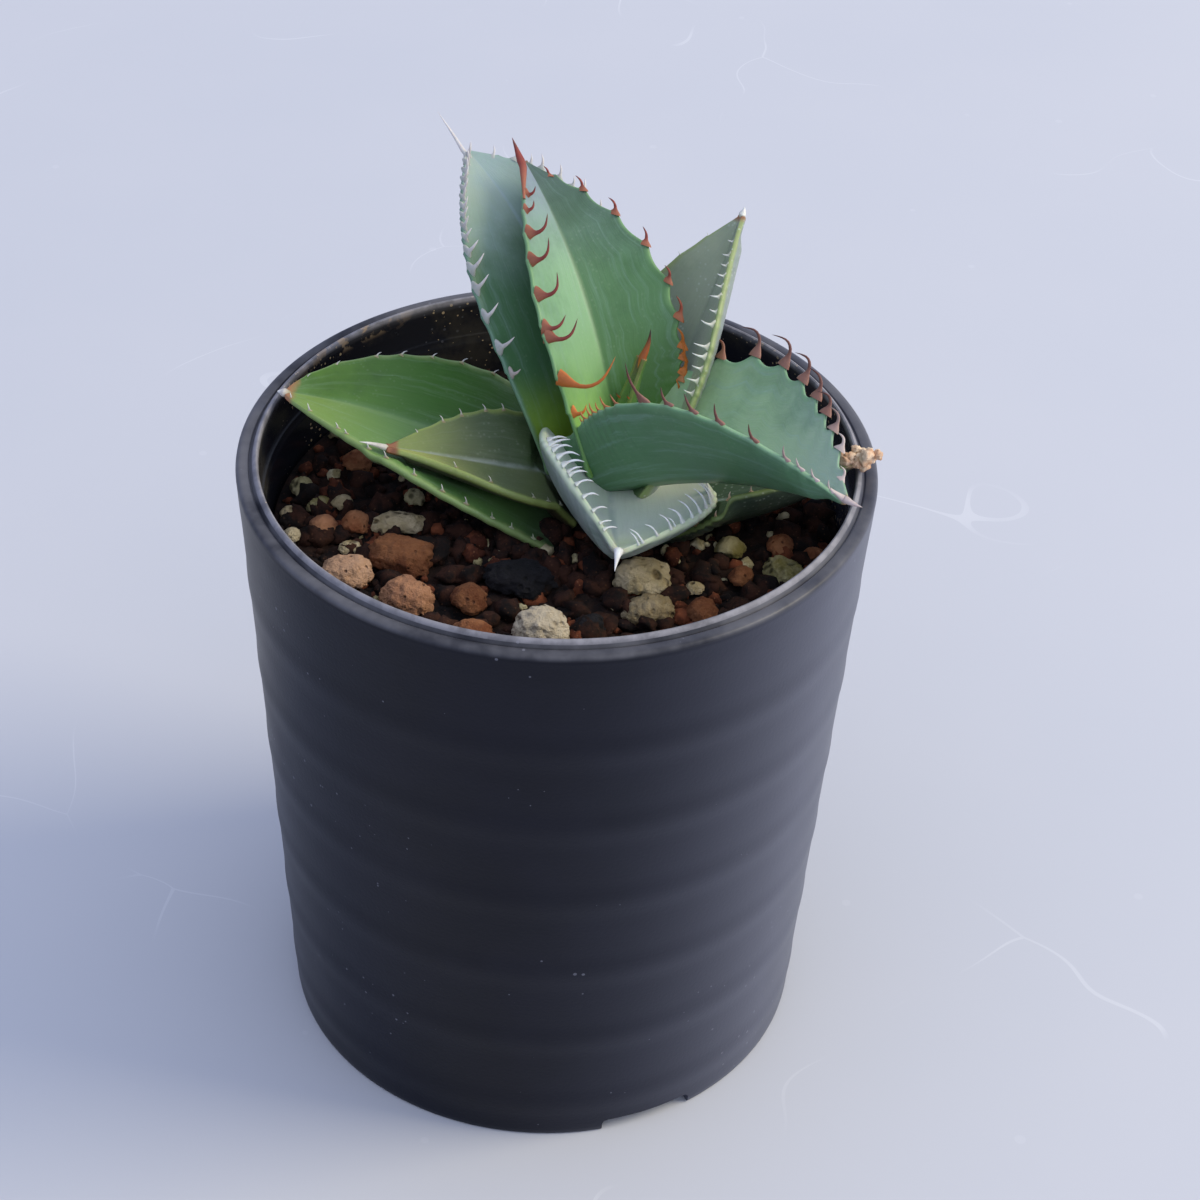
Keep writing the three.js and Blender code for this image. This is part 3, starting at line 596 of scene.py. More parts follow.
def make_pot():
    """The pot turned from its outline, with notches cut in the foot and holes in the floor."""
    outside = [(pot_outside(h), h) for h in [1.0 + 0.95 * i for i in range(84)]]
    top = POT["height"]
    groove = POT["groove"]
    profile = [
        (0, POT["floor_under"]), (28.8, POT["floor_under"]), (29.2, 2.0), (29.35, 1.5), (29.4, 0.25),
        (29.55, 0.0), (32.3, 0.0), (32.62, 0.1), (32.78, 0.35), *outside,
        (37.48, 80.45), (37.42, 80.75), (37.2, 80.95), (36.9, top), (36.2, 81.02), (36.05, 80.95),
        (groove + 0.05, 80.72), (groove - 0.05, 80.72), (35.72, 80.95), (35.6, 81.12), (35.45, 81.45),
        (35.3, 81.62), (35.1, top + POT["bead"]), (34.92, 81.62), (34.82, 81.4), (POT["rim_inner"], top),
        (34.72, 78.6), (34.68, 76.65),
        (34.6, 76.45), (34.35, 76.4), (34.28, 76.2), (34.26, 75.75), (34.1, 75.55), (34.06, 75.3),
        *[(pot_inside(h), h) for h in (72, 66, 60, 50, 38, 26, 14, 6.5)],
        (30.3, 5.2), (30.0, 4.6), (29.3, POT["floor_top"]), (0, POT["floor_top"]),
    ]
    pot = spin_profile("pot", profile, POT["steps"])
    for angle in POT["notches"]:
        bpy.ops.mesh.primitive_cube_add(size=1, location=(POT["base"] * MM, 0, 0))
        cutter = bpy.context.object
        size = (8 * MM, POT["notch_width"] * MM, 2 * POT["notch_height"] * MM)
        bpy.ops.transform.resize(value=size)
        bpy.ops.object.transform_apply(location=True, rotation=False, scale=True)
        use_modifier(cutter, "BEVEL", width=0.7 * MM, segments=2)
        cutter.data.transform(Matrix.Rotation(angle * DEGREE, 4, "Z"))
        cut(pot, cutter)
    for i in range(POT["holes"]):
        angle = i * 2 * math.pi / POT["holes"]
        place = (POT["hole_circle"] * math.cos(angle) * MM, POT["hole_circle"] * math.sin(angle) * MM, 3 * MM)
        bpy.ops.mesh.primitive_cylinder_add(vertices=32, radius=POT["hole_radius"] * MM, depth=12 * MM,
                                            location=place)
        cut(pot, bpy.context.object)
    only(pot)
    bpy.ops.object.shade_smooth_by_angle(angle=40 * DEGREE)
    settle(pot, "nursery_pot", pot_material(), "pot_plastic", "pot")


# Soil and grains

SOIL = {"radius": 33.55, "top": 70.9, "mound": 0.8, "bottom": 4.7, "bottom_radius": 30.1, "relief": 0.9,
        "rings": 78, "steps": 240}


def soil_height(x, y):
    """Height of the rough soil top at a place, in millimetres."""
    distance = math.hypot(x, y) / SOIL["radius"]
    plain = SOIL["top"] + SOIL["mound"] * max(0.0, 1 - distance * distance)
    lumps = noise.fractal(Vector((x * 0.42, y * 0.42, 3.1)), 0.9, 2.1, 4)
    crumbs = noise.noise(Vector((x * 1.7, y * 1.7, 8.3)))
    fade = 1 - smooth(0.96, 1.0, distance)
    return plain + fade * SOIL["relief"] * (0.75 * lumps + 0.3 * crumbs - 0.25)


def soil_material(name, dark, light, pale):
    """Matt grit in two colours with pale specks."""
    material, s, principled = new_material(name, Roughness=0.92)
    principled.inputs["Specular IOR Level"].default_value = 0.2
    base = place_group(s, mottle, First=dark, Second=light, Scale=420.0, Low=0.38, High=0.62)["Color"]
    specks = s.math("LESS_THAN", s.cells(1500.0), 0.16)
    base = s.mix(s.math("MULTIPLY", specks, 0.45), base, pale)
    s.feed(principled.inputs["Base Color"], base)
    bump(s, principled, s.noise(1900.0, 5.0, 0.7), 0.7, 0.0004)
    return material


def make_soil():
    """The filling of the pot, with a rough top."""
    rings = [SOIL["radius"] * i / SOIL["rings"] for i in range(SOIL["rings"] + 1)]
    profile = [(0, SOIL["bottom"]), (SOIL["bottom_radius"], SOIL["bottom"])]
    profile += [(ring, 71.0) for ring in reversed(rings)]
    soil = spin_profile("soil", profile, SOIL["steps"])
    for vertex in soil.data.vertices:
        if vertex.co.z > 0.07:
            vertex.co.z = soil_height(vertex.co.x / MM, vertex.co.y / MM) * MM
    only(soil)
    bpy.ops.object.shade_smooth()
    material = soil_material("dark_soil", srgb(17, 13, 13), srgb(44, 29, 23), srgb(84, 58, 42))
    settle(soil, "soil_bed", material, "gritty_soil", "soil")


def rough_ball(subdivisions, roughness, seed, squash):
    """A small rough stone of radius one, the start of every scattered grain."""
    bpy.ops.object.select_all(action="DESELECT")
    bpy.ops.mesh.primitive_ico_sphere_add(subdivisions=subdivisions, radius=1)
    ball = bpy.context.object
    for vertex in ball.data.vertices:
        lump = noise.noise(vertex.co * 1.3 + Vector((seed * 3.7, 0, 0)))
        facet = noise.noise(vertex.co * 2.9 + Vector((0, seed * 2.3, 0)))
        vertex.co *= 1 + roughness * (lump + 0.5 * facet)
        vertex.co.z *= squash
    return ball


GRAINS = [
    {"name": "dark_grains", "count": 800, "size": (0.5, 2.1), "seed": 4,
     "colours": (srgb(20, 15, 14), srgb(56, 33, 24), srgb(96, 66, 46))},
    {"name": "clay_grains", "count": 330, "size": (0.5, 1.5), "seed": 5,
     "colours": (srgb(70, 36, 24), srgb(122, 68, 44), srgb(160, 112, 80))},
    {"name": "pale_grains", "count": 130, "size": (0.4, 1.1), "seed": 6,
     "colours": (srgb(150, 138, 98), srgb(206, 196, 160), srgb(90, 80, 50))},
]


GRAIN_FORMS = {"kinds": 5, "roughness": 0.6, "squash": 0.8}


def make_grains(sort):
    """Loose small grains over the soil, each with its own mesh, joined as one piece."""
    chance = random.Random(sort["seed"])
    roughness, squash = GRAIN_FORMS["roughness"], GRAIN_FORMS["squash"]
    starts = [rough_ball(2, roughness, sort["seed"] * 10 + i, squash) for i in range(GRAIN_FORMS["kinds"])]
    grains = []
    for _ in range(sort["count"]):
        size = lerp(sort["size"], chance.random() ** 2.2)
        distance = (SOIL["radius"] - size) * math.sqrt(chance.random())
        angle = chance.random() * 2 * math.pi
        x = distance * math.cos(angle)
        y = distance * math.sin(angle)
        grain = copy_of(chance.choice(starts))
        turn = random_turn(chance)
        stretch = Matrix.Diagonal((size * MM, size * MM * (0.7 + 0.3 * chance.random()), size * MM * 0.85, 1))
        place = Matrix.Translation(Vector((x, y, soil_height(x, y) + size * 0.25)) * MM)
        grain.data.transform(place @ turn @ stretch)
        grains.append(grain)
    for start in starts:
        bpy.data.objects.remove(start)
    piece = join(grains)
    bpy.ops.object.shade_smooth()
    settle(piece, sort["name"], soil_material(sort["name"], *sort["colours"]), "gritty_soil")


# Loose stones: each is its plain solid rounded and roughened, in a stone material of its sort

STONE_LOOKS = {
    "pumice": {
        "slot": "pumice", "first": srgb(178, 160, 118), "second": srgb(214, 198, 162),
        "pale": srgb(232, 222, 212), "pit": srgb(96, 78, 44), "pits": 0.2, "lumps": 0.6,
    },
    "stained_pumice": {
        "slot": "stained_pumice", "first": srgb(140, 130, 70), "second": srgb(196, 186, 142),
        "pale": srgb(216, 206, 170), "pit": srgb(58, 54, 24), "pits": 0.24, "lumps": 0.7,
    },
    "clay": {
        "slot": "fired_clay", "first": srgb(136, 80, 50), "second": srgb(184, 126, 86),
        "pale": srgb(226, 190, 158), "pit": srgb(78, 40, 24), "pits": 0.12, "lumps": 0.5,
    },
    "lava": {
        "slot": "lava", "first": srgb(18, 18, 21), "second": srgb(34, 33, 37), "pale": srgb(70, 68, 70),
        "pit": srgb(9, 9, 11), "pits": 0.2, "lumps": 0.8,
    },
}


def stone_material(sort, look):
    """Rough stone, paler or darker by its shade, with pores and a little dust."""
    material, s, principled = new_material(sort + "_stone", Roughness=0.9)
    principled.inputs["Specular IOR Level"].default_value = 0.25
    base = place_group(s, mottle, First=look["first"], Second=look["second"], Scale=260.0)["Color"]
    shade = s.attribute("shade")
    base = s.mix(s.step(shade, 0.5, 1.0), base, s.tinted(base, (0.45, 0.42, 0.4, 1)))
    base = s.mix(s.step(shade, 0.5, 0.0), base, s.mix(0.6, base, look["pale"]))
    pores = s.cells(760.0, "SMOOTH_F1")
    pit = s.math("SUBTRACT", 1.0, s.step(pores, look["pits"] * 0.5, look["pits"] * 1.6))
    scattered = s.math("MULTIPLY", pit, s.step(s.noise(330.0, 3.0), 0.38, 0.55))
    base = s.mix(s.math("MULTIPLY", scattered, 0.8), base, look["pit"])
    dusty = s.step(s.noise(1300.0, 4.0, 0.7), 0.5, 0.7)
    base = s.mix(s.math("MULTIPLY", dusty, 0.18), base, look["second"])
    s.feed(principled.inputs["Base Color"], base)
    grit = s.math("SUBTRACT", s.noise(1500.0, 5.0, 0.7), s.math("MULTIPLY", scattered, 0.9))
    bump(s, principled, grit, 1.0, 0.0009)
    return material


# How dark or pale single stones are: 0 pale and dusty, 0.5 plain, 1 dark
STONE_SHADES = {
    "clay_5": 0.35, "clay_7": 0.55, "clay_10": 0.92, "clay_11": 0.05, "clay_12": 0.3, "clay_13": 0.9,
    "clay_14": 0.7, "clay_21": 0.85, "clay_23": 0.6, "clay_24": 0.8, "clay_25": 0.45, "clay_28": 0.7,
    "clay_29": 0.7, "pumice_15": 0.2, "pumice_19": 0.6, "pumice_20": 0.85, "pumice_9": 0.45,
}


def make_stone(node, materials):
    """One loose stone: the plain solid made lumpy, craggy and pitted within its size."""
    sort = node.rsplit("_", 1)[0]
    look = STONE_LOOKS[sort]
    order = int(node.rsplit("_", 1)[1])
    low, high = (Vector(corner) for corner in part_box(node))
    middle = (low + high) / 2
    source = bpy.data.objects[node]
    stone = copy_of(source)
    stone.data.materials.clear()
    close_mesh(stone, 0.00005)
    use_modifier(stone, "SUBSURF", levels=3, render_levels=3)
    size = (high - low).length / 1.9
    before = [max(vertex.co[axis] for vertex in stone.data.vertices)
              - min(vertex.co[axis] for vertex in stone.data.vertices) for axis in range(3)]
    grow = Vector([(high - low)[axis] / before[axis] for axis in range(3)])
    for vertex in stone.data.vertices:
        from_middle = vertex.co - middle
        point = Vector((from_middle.x * grow.x, from_middle.y * grow.y, from_middle.z * grow.z))
        seedling = Vector((order * 1.7, 0, 0))
        lumps = noise.fractal(point / size * 2.2 + seedling, 1.0, 2.0, 4)
        pits = noise.cell(point / size * 9.0 + seedling)
        crags = 0.11 * noise.noise(point / size * 5.5 + seedling) + 0.06 * noise.noise(point / size * 13)
        push = 1 + 0.22 * look["lumps"] * lumps + crags - 0.02 * pits
        vertex.co = middle + point * push
    only(stone)
    bpy.ops.object.shade_smooth()
    shade = STONE_SHADES.get(node, 0.3 + 0.4 * random.Random(order).random())
    mark(stone, "shade", [shade] * len(stone.data.vertices))
    settle(stone, node + "_stone", materials[sort], look["slot"], node)


# Leaves. The measures are those of the solids: heading and rise of the midrib in degrees, length,
# half width laid flat, where it is widest, width at the root, shape of the point, roll, fold of
# each half above the flat, curl of the margins and thickness. Teeth: place along the leaf, length.
# start and end say which way a tooth grows: outwards, along the leaf, up from the face.

LEAVES = {
    "leaf_bud": {
        "root": (6.7, 5.6, 80.2), "foot": 0.1, "heading": (40, 46), "rise": (74, 66), "length": 10.4,
        "half": 0.95, "widest": 0.3, "width_at_root": 0.85, "point": (1.5, 1.1), "roll": (0, 0),
        "fold": (50, 55), "curl": 30, "thickness": 1.4, "edge": 0.6, "lobes": (0.1, 0.1),
        "minus": {"teeth": [(0.5, 1.0)],
            "start": (1, 0.2, 0.2), "end": (0.6, 0.8, 0.2), "base": 0.7},
        "plus": {"teeth": [(0.45, 1.2), (0.7, 1.0)],
            "start": (1, 0.2, 0.2), "end": (0.5, 0.9, 0.2), "base": 0.7},
        "spine": {"length": 3.6, "base": 0.5, "lift": 0.1, "from": 0.8, "side": 0},
        "slot": "leaf_bud",
    },
    "leaf_centre": {
        "root": (6.9, 5.8, 79.5), "foot": 0.08, "heading": (118, 125), "rise": (68, 27), "length": 36,
        "half": 10, "widest": 0.42, "width_at_root": 0.73, "point": (1.77, 1.1), "roll": (7, 6),
        "fold": (27, 22), "curl": 15, "thickness": 3, "edge": 0.8, "lobes": (0.75, 0.35),
        "minus": {"teeth": [(0.1, 2.2), (0.135, 1.6), (0.17, 2.6), (0.215, 2.0), (0.25, 2.4), (0.34, 2.6),
                            (0.455, 1.9), (0.585, 1.9), (0.71, 1.9), (0.82, 1.7), (0.91, 1.1)],
            "start": (0.55, 0.75, 0.2), "end": (-0.35, 1, 0.2), "base": 1.1},
        "plus": {"teeth": [(0.15, 2.0), (0.265, 8.6), (0.395, 5.0), (0.42, 3.2), (0.52, 4.5), (0.63, 4.2),
                           (0.72, 3.8), (0.8, 1.6), (0.86, 1.4)],
            "start": (0.1, -0.5, 1), "end": (-0.3, 1.1, 0.5), "base": 1.15},
        "spine": {"length": 2.8, "base": 0.5, "lift": 0.3, "from": 0.84, "side": 1},
        "slot": "leaf_centre",
    },
    "leaf_right": {
        "root": (6.2, 4.2, 77.1), "foot": 0.06, "heading": (-31.5, -38), "rise": (31, 2), "length": 34.3,
        "half": 13.7, "widest": 0.45, "width_at_root": 0.55, "point": (1.82, 1.08), "roll": (-11, -10),
        "fold": (47, 46), "curl": 14, "thickness": 3, "edge": 0.9, "lobes": (0.35, 1.3),
        "minus": {"teeth": [(0.1, 0.8), (0.125, 1.1), (0.155, 0.9), (0.18, 1.2), (0.21, 0.9), (0.25, 1.4),
                            (0.3, 1.2), (0.415, 5.2), (0.5, 2.2), (0.575, 2.3), (0.65, 2.3), (0.745, 2.1),
                            (0.83, 1.6), (0.87, 1.4), (0.91, 1.3), (0.95, 1.2)],
            "start": (0.95, -0.2, 0.1), "end": (0.9, -0.15, 0.5), "base": 0.95},
        "plus": {"teeth": [(0.2, 2.4), (0.33, 3.2), (0.45, 4.8), (0.56, 4.8), (0.645, 4.4), (0.715, 4.0),
                           (0.77, 3.4), (0.82, 3.0), (0.875, 2.2), (0.93, 1.6)],
            "start": (1, 0.3, 0.1), "end": (0.05, -1.3, 0.3), "base": 1.0},
        "spine": {"length": 2.2, "base": 0.5, "lift": 0.0, "from": 0.95, "side": -1},
        "slot": "leaf_right",
    },
    "leaf_back_left": {
        "root": (4.2, 7.3, 77.7), "foot": 0.15, "heading": (123, 128), "rise": (73, 11), "length": 41,
        "half": 10.4, "widest": 0.45, "width_at_root": 0.73, "point": (1.92, 1.04), "roll": (-9, -11),
        "fold": (18.5, 11), "curl": 15, "thickness": 3, "edge": 0.8, "lobes": (0.45, 0.25),
        "minus": {"teeth": [(0.62, 1.3), (0.69, 1.6), (0.72, 1.0), (0.76, 1.5), (0.81, 1.7), (0.84, 1.1),
                            (0.88, 1.6), (0.93, 1.2)],
            "start": (0.9, 0.4, 0.2), "end": (0.4, 0.95, 0.2), "base": 1.0},
        "plus": {"teeth": [(0.28, 1.6), (0.36, 3.2), (0.455, 2.9), (0.54, 2.8), (0.6, 3.0), (0.655, 2.2),
                           (0.7, 1.5), (0.735, 1.6), (0.77, 1.3), (0.8, 1.5), (0.83, 1.4), (0.86, 1.5),
                           (0.89, 1.6), (0.92, 1.7), (0.95, 1.8), (0.975, 1.8)],
            "start": (0.25, -0.15, 1), "end": (-0.3, 0.5, 0.75), "base": 1.2},
        "spine": {"length": 5.6, "base": 0.3, "lift": 0.42, "from": 0.95, "side": 1},
        "slot": "leaf_back_left",
    },
    "leaf_front": {
        "root": (6.3, 1.9, 75.2), "foot": 0.05, "heading": (-89, -83), "rise": (4, 25), "length": 19.1,
        "half": 12.3, "widest": 0.31, "width_at_root": 0.92, "point": (2.26, 0.8), "roll": (-18, -21),
        "fold": (30, 40), "curl": 19, "thickness": 3.4, "edge": 1.5, "lobes": (0.15, 0.2),
        "minus": {"teeth": [(0.3, 2.0), (0.4, 2.2), (0.48, 2.1), (0.56, 2.4), (0.63, 2.3), (0.7, 2.0),
                            (0.76, 1.8), (0.82, 1.6), (0.88, 1.5), (0.94, 1.3)],
            "start": (0.1, 0, 1), "end": (-0.8, -0.35, 0.8), "base": 0.95, "fringe": 6},
        "plus": {"teeth": [(0.25, 2.0), (0.36, 2.3), (0.46, 2.5), (0.55, 2.5), (0.63, 2.6), (0.7, 2.3),
                           (0.77, 2.1), (0.83, 1.9), (0.89, 1.6), (0.95, 1.3)],
            "start": (0.1, 0, 1), "end": (-0.7, -0.25, 0.9), "base": 0.8, "fringe": 4},
        "spine": {"length": 2.2, "base": 0.6, "lift": -0.9, "from": 0.97, "side": 0},
        "slot": "leaf_front",
    },
    "leaf_back_right": {
        "root": (8.7, 6.5, 75.9), "foot": 0.14, "heading": (55.5, 56.5), "rise": (38, 61), "length": 32.6,
        "half": 10.4, "widest": 0.44, "width_at_root": 0.75, "point": (1.84, 1.1), "roll": (-22, -31),
        "fold": (19, 34), "curl": 15, "thickness": 2.9, "edge": 0.9, "lobes": (0.2, 0.15),
        "minus": {"teeth": [(0.3, 0.96), (0.35, 1.2), (0.4, 1.04), (0.45, 1.52), (0.49, 1.6), (0.58, 1.52),
                            (0.63, 0.64), (0.69, 0.96), (0.73, 0.56), (0.77, 0.64), (0.81, 0.56),
                            (0.85, 0.72), (0.9, 0.48)],
            "start": (0.3, -0.3, 1), "end": (-0.5, 0.1, 0.9), "base": 0.85},
        "plus": {"teeth": [(0.3, 0.8), (0.42, 0.72), (0.55, 0.64), (0.66, 0.56), (0.78, 0.48), (0.88, 0.4)],
            "start": (1, 0.2, 0.2), "end": (0.4, 0.9, 0.2), "base": 0.6},
        "spine": {"length": 0.9, "base": 0.5, "lift": 0.0, "from": 0.98, "side": 0},
        "slot": "leaf_back_right",
    },
    "leaf_left_upper": {
        "root": (3.0, 2.3, 76.5), "foot": 0.05, "heading": (185.7, 193), "rise": (10.4, 17.6),
        "length": 24.1, "half": 7.1, "widest": 0.38, "width_at_root": 0.77, "point": (1.72, 1.13),
        "roll": (-18, -7), "fold": (15.4, 40.3), "curl": 15, "thickness": 3, "edge": 1.3,
        "lobes": (0.25, 0.1),
        "minus": {"teeth": [(0.3, 0.48), (0.42, 0.54), (0.51, 0.6), (0.63, 0.66), (0.72, 0.6), (0.84, 0.42)],
            "start": (1, 0.2, 0.3), "end": (0.5, 0.9, 0.3), "base": 0.6},
        "plus": {"teeth": [(0.12, 0.3), (0.2, 0.36), (0.28, 0.42), (0.51, 0.6), (0.68, 0.54)],
            "start": (0.6, 0.2, 0.9), "end": (0.1, 0.9, 0.8), "base": 0.6},
        "spine": {"length": 3.2, "base": 0.42, "lift": 0.05, "from": 0.97, "side": 0},
        "slot": "leaf_left_upper",
    },
    "leaf_right_lower": {
        "root": (8.5, 2.8, 72.6), "foot": 0.0, "heading": (-10.5, -6), "rise": (5, 39), "length": 29.6,
        "half": 9.5, "widest": 0.42, "width_at_root": 0.45, "point": (1.8, 1.1), "roll": (-14.5, -15.5),
        "fold": (21.5, 22), "curl": 15, "thickness": 3.2, "edge": 1.0, "lobes": (0.15, 0.15),
        "minus": {"teeth": [(0.33, 0.8), (0.42, 0.9), (0.51, 1.2), (0.6, 0.8), (0.68, 0.8), (0.77, 0.7)],
            "start": (1, 0.1, 0.4), "end": (0.7, 0.5, 0.6), "base": 0.8},
        "plus": {"teeth": [(0.35, 0.8), (0.5, 0.9), (0.62, 0.8), (0.74, 0.8), (0.84, 0.7)],
            "start": (1, 0.1, 0.4), "end": (0.7, 0.5, 0.6), "base": 0.7},
        "spine": {"length": 0.9, "base": 0.5, "lift": 0.0, "from": 0.98, "side": 0},
        "slot": "leaf_right_lower",
    },
    "leaf_left_lower": {
        "root": (2.9, 3.4, 72.5), "foot": 0.3, "heading": (170.5, 176.5), "rise": (29, 4.5),
        "length": 37.9, "half": 11.5, "widest": 0.38, "width_at_root": 0.87, "point": (1.86, 0.78),
        "roll": (-9, -5.5), "fold": (2, 19), "curl": 15, "thickness": 3, "edge": 1.5, "lobes": (0.25, 0.12),
        "minus": {"teeth": [(0.3, 0.5), (0.4, 0.5), (0.5, 0.61), (0.59, 0.44), (0.68, 0.61), (0.75, 0.5),
                            (0.86, 0.28), (0.94, 0.44)],
            "start": (1, -0.2, 0.4), "end": (0.4, -0.9, 0.5), "base": 0.6},
        "plus": {"teeth": [(0.1, 0.33), (0.18, 0.39), (0.25, 0.44), (0.345, 0.72), (0.43, 0.55),
                           (0.53, 0.44), (0.63, 0.66), (0.69, 0.55), (0.77, 0.33), (0.8, 0.44),
                           (0.9, 0.72), (0.97, 0.39)],
            "start": (0.4, 0.2, 1), "end": (-0.2, 0.6, 0.9), "base": 0.7},
        "spine": {"length": 0.8, "base": 0.6, "lift": 0.1, "from": 0.97, "side": 0},
        "slot": "leaf_left_lower",
    },
}

# Leaves that give way under a leaf lying over them
OVERLAID = {
    "leaf_left_lower": ("leaf_left_upper", "leaf_front"),
    "leaf_right_lower": ("leaf_front", "leaf_right"),
    "leaf_left_upper": ("leaf_front", "leaf_back_left"),
    "leaf_back_left": ("leaf_centre",),
}

# How a leaf gives way, in millimetres: how far off a leaf counts, how high it may lie, the gap left,
# and how far aside the pressing starts to fade and ends
GIVE_WAY = {"search": 6, "height": 3.5, "gap": 0.15, "fade": (0.4, 3.0)}
SAMPLE_STEPS = {"along": 60, "across": 12}
cover_samples = {}

BLADE = {"along": 150, "around": 56, "keel_at_root": 1.25, "keel_loss": 0.85, "tip": 0.75,
         "tip_taper": 8, "tip_width": 0.35, "roundness": 0.34, "crease": 0.03, "midrib_steps": 24}


def midrib_direction(leaf, share):
    """Which way the midrib runs at a place along the leaf."""
    heading = lerp(leaf["heading"], share) * DEGREE
    rise = lerp(leaf["rise"], share) * DEGREE
    return Vector((math.cos(rise) * math.cos(heading), math.cos(rise) * math.sin(heading), math.sin(rise)))


def leaf_frame(leaf, share):
    """Point on the midrib, with the directions along, across and up from the face."""
    point = Vector(leaf["root"])
    step = share / BLADE["midrib_steps"]
    for i in range(BLADE["midrib_steps"]):
        point += midrib_direction(leaf, (i + 0.5) * step) * step * leaf["length"]
    along = midrib_direction(leaf, share)
    heading = lerp(leaf["heading"], share) * DEGREE
    roll = lerp(leaf["roll"], share) * DEGREE
    level = Vector((-math.sin(heading), math.cos(heading), 0))
    upright = along.cross(level)
    across = level * math.cos(roll) + upright * math.sin(roll)
    face = upright * math.cos(roll) - level * math.sin(roll)
    return point, along, across, face


def width_share(leaf, share):
    """Share of the greatest width, from the rounded foot to the point."""
    if share < 0:
        return leaf["width_at_root"] * math.sqrt(max(0.02, 1 - (share / (leaf["foot"] + 0.08)) ** 2))
    if share < leaf["widest"]:
        rise = math.sin(math.pi / 2 * share / leaf["widest"])
        return leaf["width_at_root"] + (1 - leaf["width_at_root"]) * rise
    to_tip = min(1.0, (share - leaf["widest"]) / (1 - leaf["widest"]))
    return (1 - to_tip ** leaf["point"][0]) ** leaf["point"][1]


def lobe_wave(places, share):
    """1 at each tooth and 0 midway between two, with pointed crests."""
    if share <= places[0] or share >= places[-1]:
        return 0.0
    for first, second in zip(places, places[1:]):
        if first <= share <= second:
            phase = (share - first) / max(1e-6, second - first)
            return 1 - math.sin(math.pi * phase)
    return 0.0


def half_width(leaf, share, sign):
    """Half width towards one margin, with the lobes that carry the teeth."""
    plain = leaf["half"] * width_share(leaf, share)
    teeth = leaf["plus" if sign > 0 else "minus"]["teeth"]
    places = sorted(place for place, _ in teeth)
    lobe = leaf["lobes"][1 if sign > 0 else 0] * min(1.0, plain / 4)
    wave = lobe * (lobe_wave(places, share) - 0.4)
    return max(BLADE["tip_width"], plain + wave)


def plain_face_point(leaf, frame_here, share, side):
    """Point on the upper face, with its outward direction and normal; side runs from -1 to 1."""
    point, _, across, face = frame_here
    fold = lerp(leaf["fold"], share)
    reach = abs(side)
    sign = 1 if side >= 0 else -1
    half = half_width(leaf, share, sign)
    line = (fold + leaf["curl"] * (reach / 2 - 0.5)) * DEGREE
    local = (fold + leaf["curl"] * (reach - 0.5)) * DEGREE
    place = point + across * (sign * reach * half * math.cos(line)) + face * (reach * half * math.sin(line))
    outward = across * (sign * math.cos(local)) + face * math.sin(local)
    normal = face * math.cos(local) - across * (sign * math.sin(local))
    crease = smooth(0.0, BLADE["crease"], reach)
    normal = (face * (1 - crease) + normal * crease).normalized()
    return place, outward, normal


def leaf_samples(name):
    """Middle points of a leaf with their normals and thickness, in a tree for finding the nearest."""
    leaf = LEAVES[name]
    samples = []
    along_steps = SAMPLE_STEPS["along"]
    across_steps = SAMPLE_STEPS["across"]
    for i in range(along_steps + 1):
        share = i / along_steps
        here = leaf_frame(leaf, share)
        for j in range(-across_steps, across_steps + 1):
            side = j / across_steps
            place, _, normal = plain_face_point(leaf, here, share, side)
            thickness = blade_thickness(leaf, share, side)
            samples.append((place - normal * (thickness / 2), normal, thickness))
    tree = kdtree.KDTree(len(samples))
    for order, sample in enumerate(samples):
        tree.insert(sample[0], order)
    tree.balance()
    return tree, samples


def face_point(leaf, frame_here, share, side):
    """A point on the face, pressed down where another leaf lies over it."""
    place, outward, normal = plain_face_point(leaf, frame_here, share, side)
    thickness = blade_thickness(leaf, share, side)
    for cover in OVERLAID.get(leaf["slot"], ()):
        if cover not in cover_samples:
            cover_samples[cover] = leaf_samples(cover)
        tree, samples = cover_samples[cover]
        middle = place - normal * (thickness / 2)
        _, order, distance = tree.find(middle)
        if distance > GIVE_WAY["search"]:
            continue
        over, up, over_thickness = samples[order]
        gap = (middle - over).dot(up)
        aside = (middle - over - up * gap).length
        wanted = -(thickness + over_thickness) / 2 - GIVE_WAY["gap"]
        if wanted < gap < GIVE_WAY["height"]:
            place += up * ((wanted - gap) * (1 - smooth(*GIVE_WAY["fade"], aside)))
    return place, outward, normal


def blade_thickness(leaf, share, side):
    """Thickest on the midrib near the root, thin at the margins and the tip."""
    taper = min(1.0, (1 - share) * BLADE["tip_taper"])
    keel = leaf["thickness"] * (BLADE["keel_at_root"] - BLADE["keel_loss"] * share) * taper
    edge = 0.75 + (leaf["edge"] - 0.75) * min(1.0, (1 - share) * 4)
    thickness = edge + max(0.0, keel - edge) * (1 - side * side)
    return max(BLADE["tip"], thickness)


def rolled_grid(name, along, around):
    """A grid whose x runs along a tube and y round it, both from -1 to 1."""
    bpy.ops.object.select_all(action="DESELECT")
    bpy.ops.mesh.primitive_grid_add(x_subdivisions=along, y_subdivisions=around, size=2)
    piece = bpy.context.object
    piece.name = name
    return piece


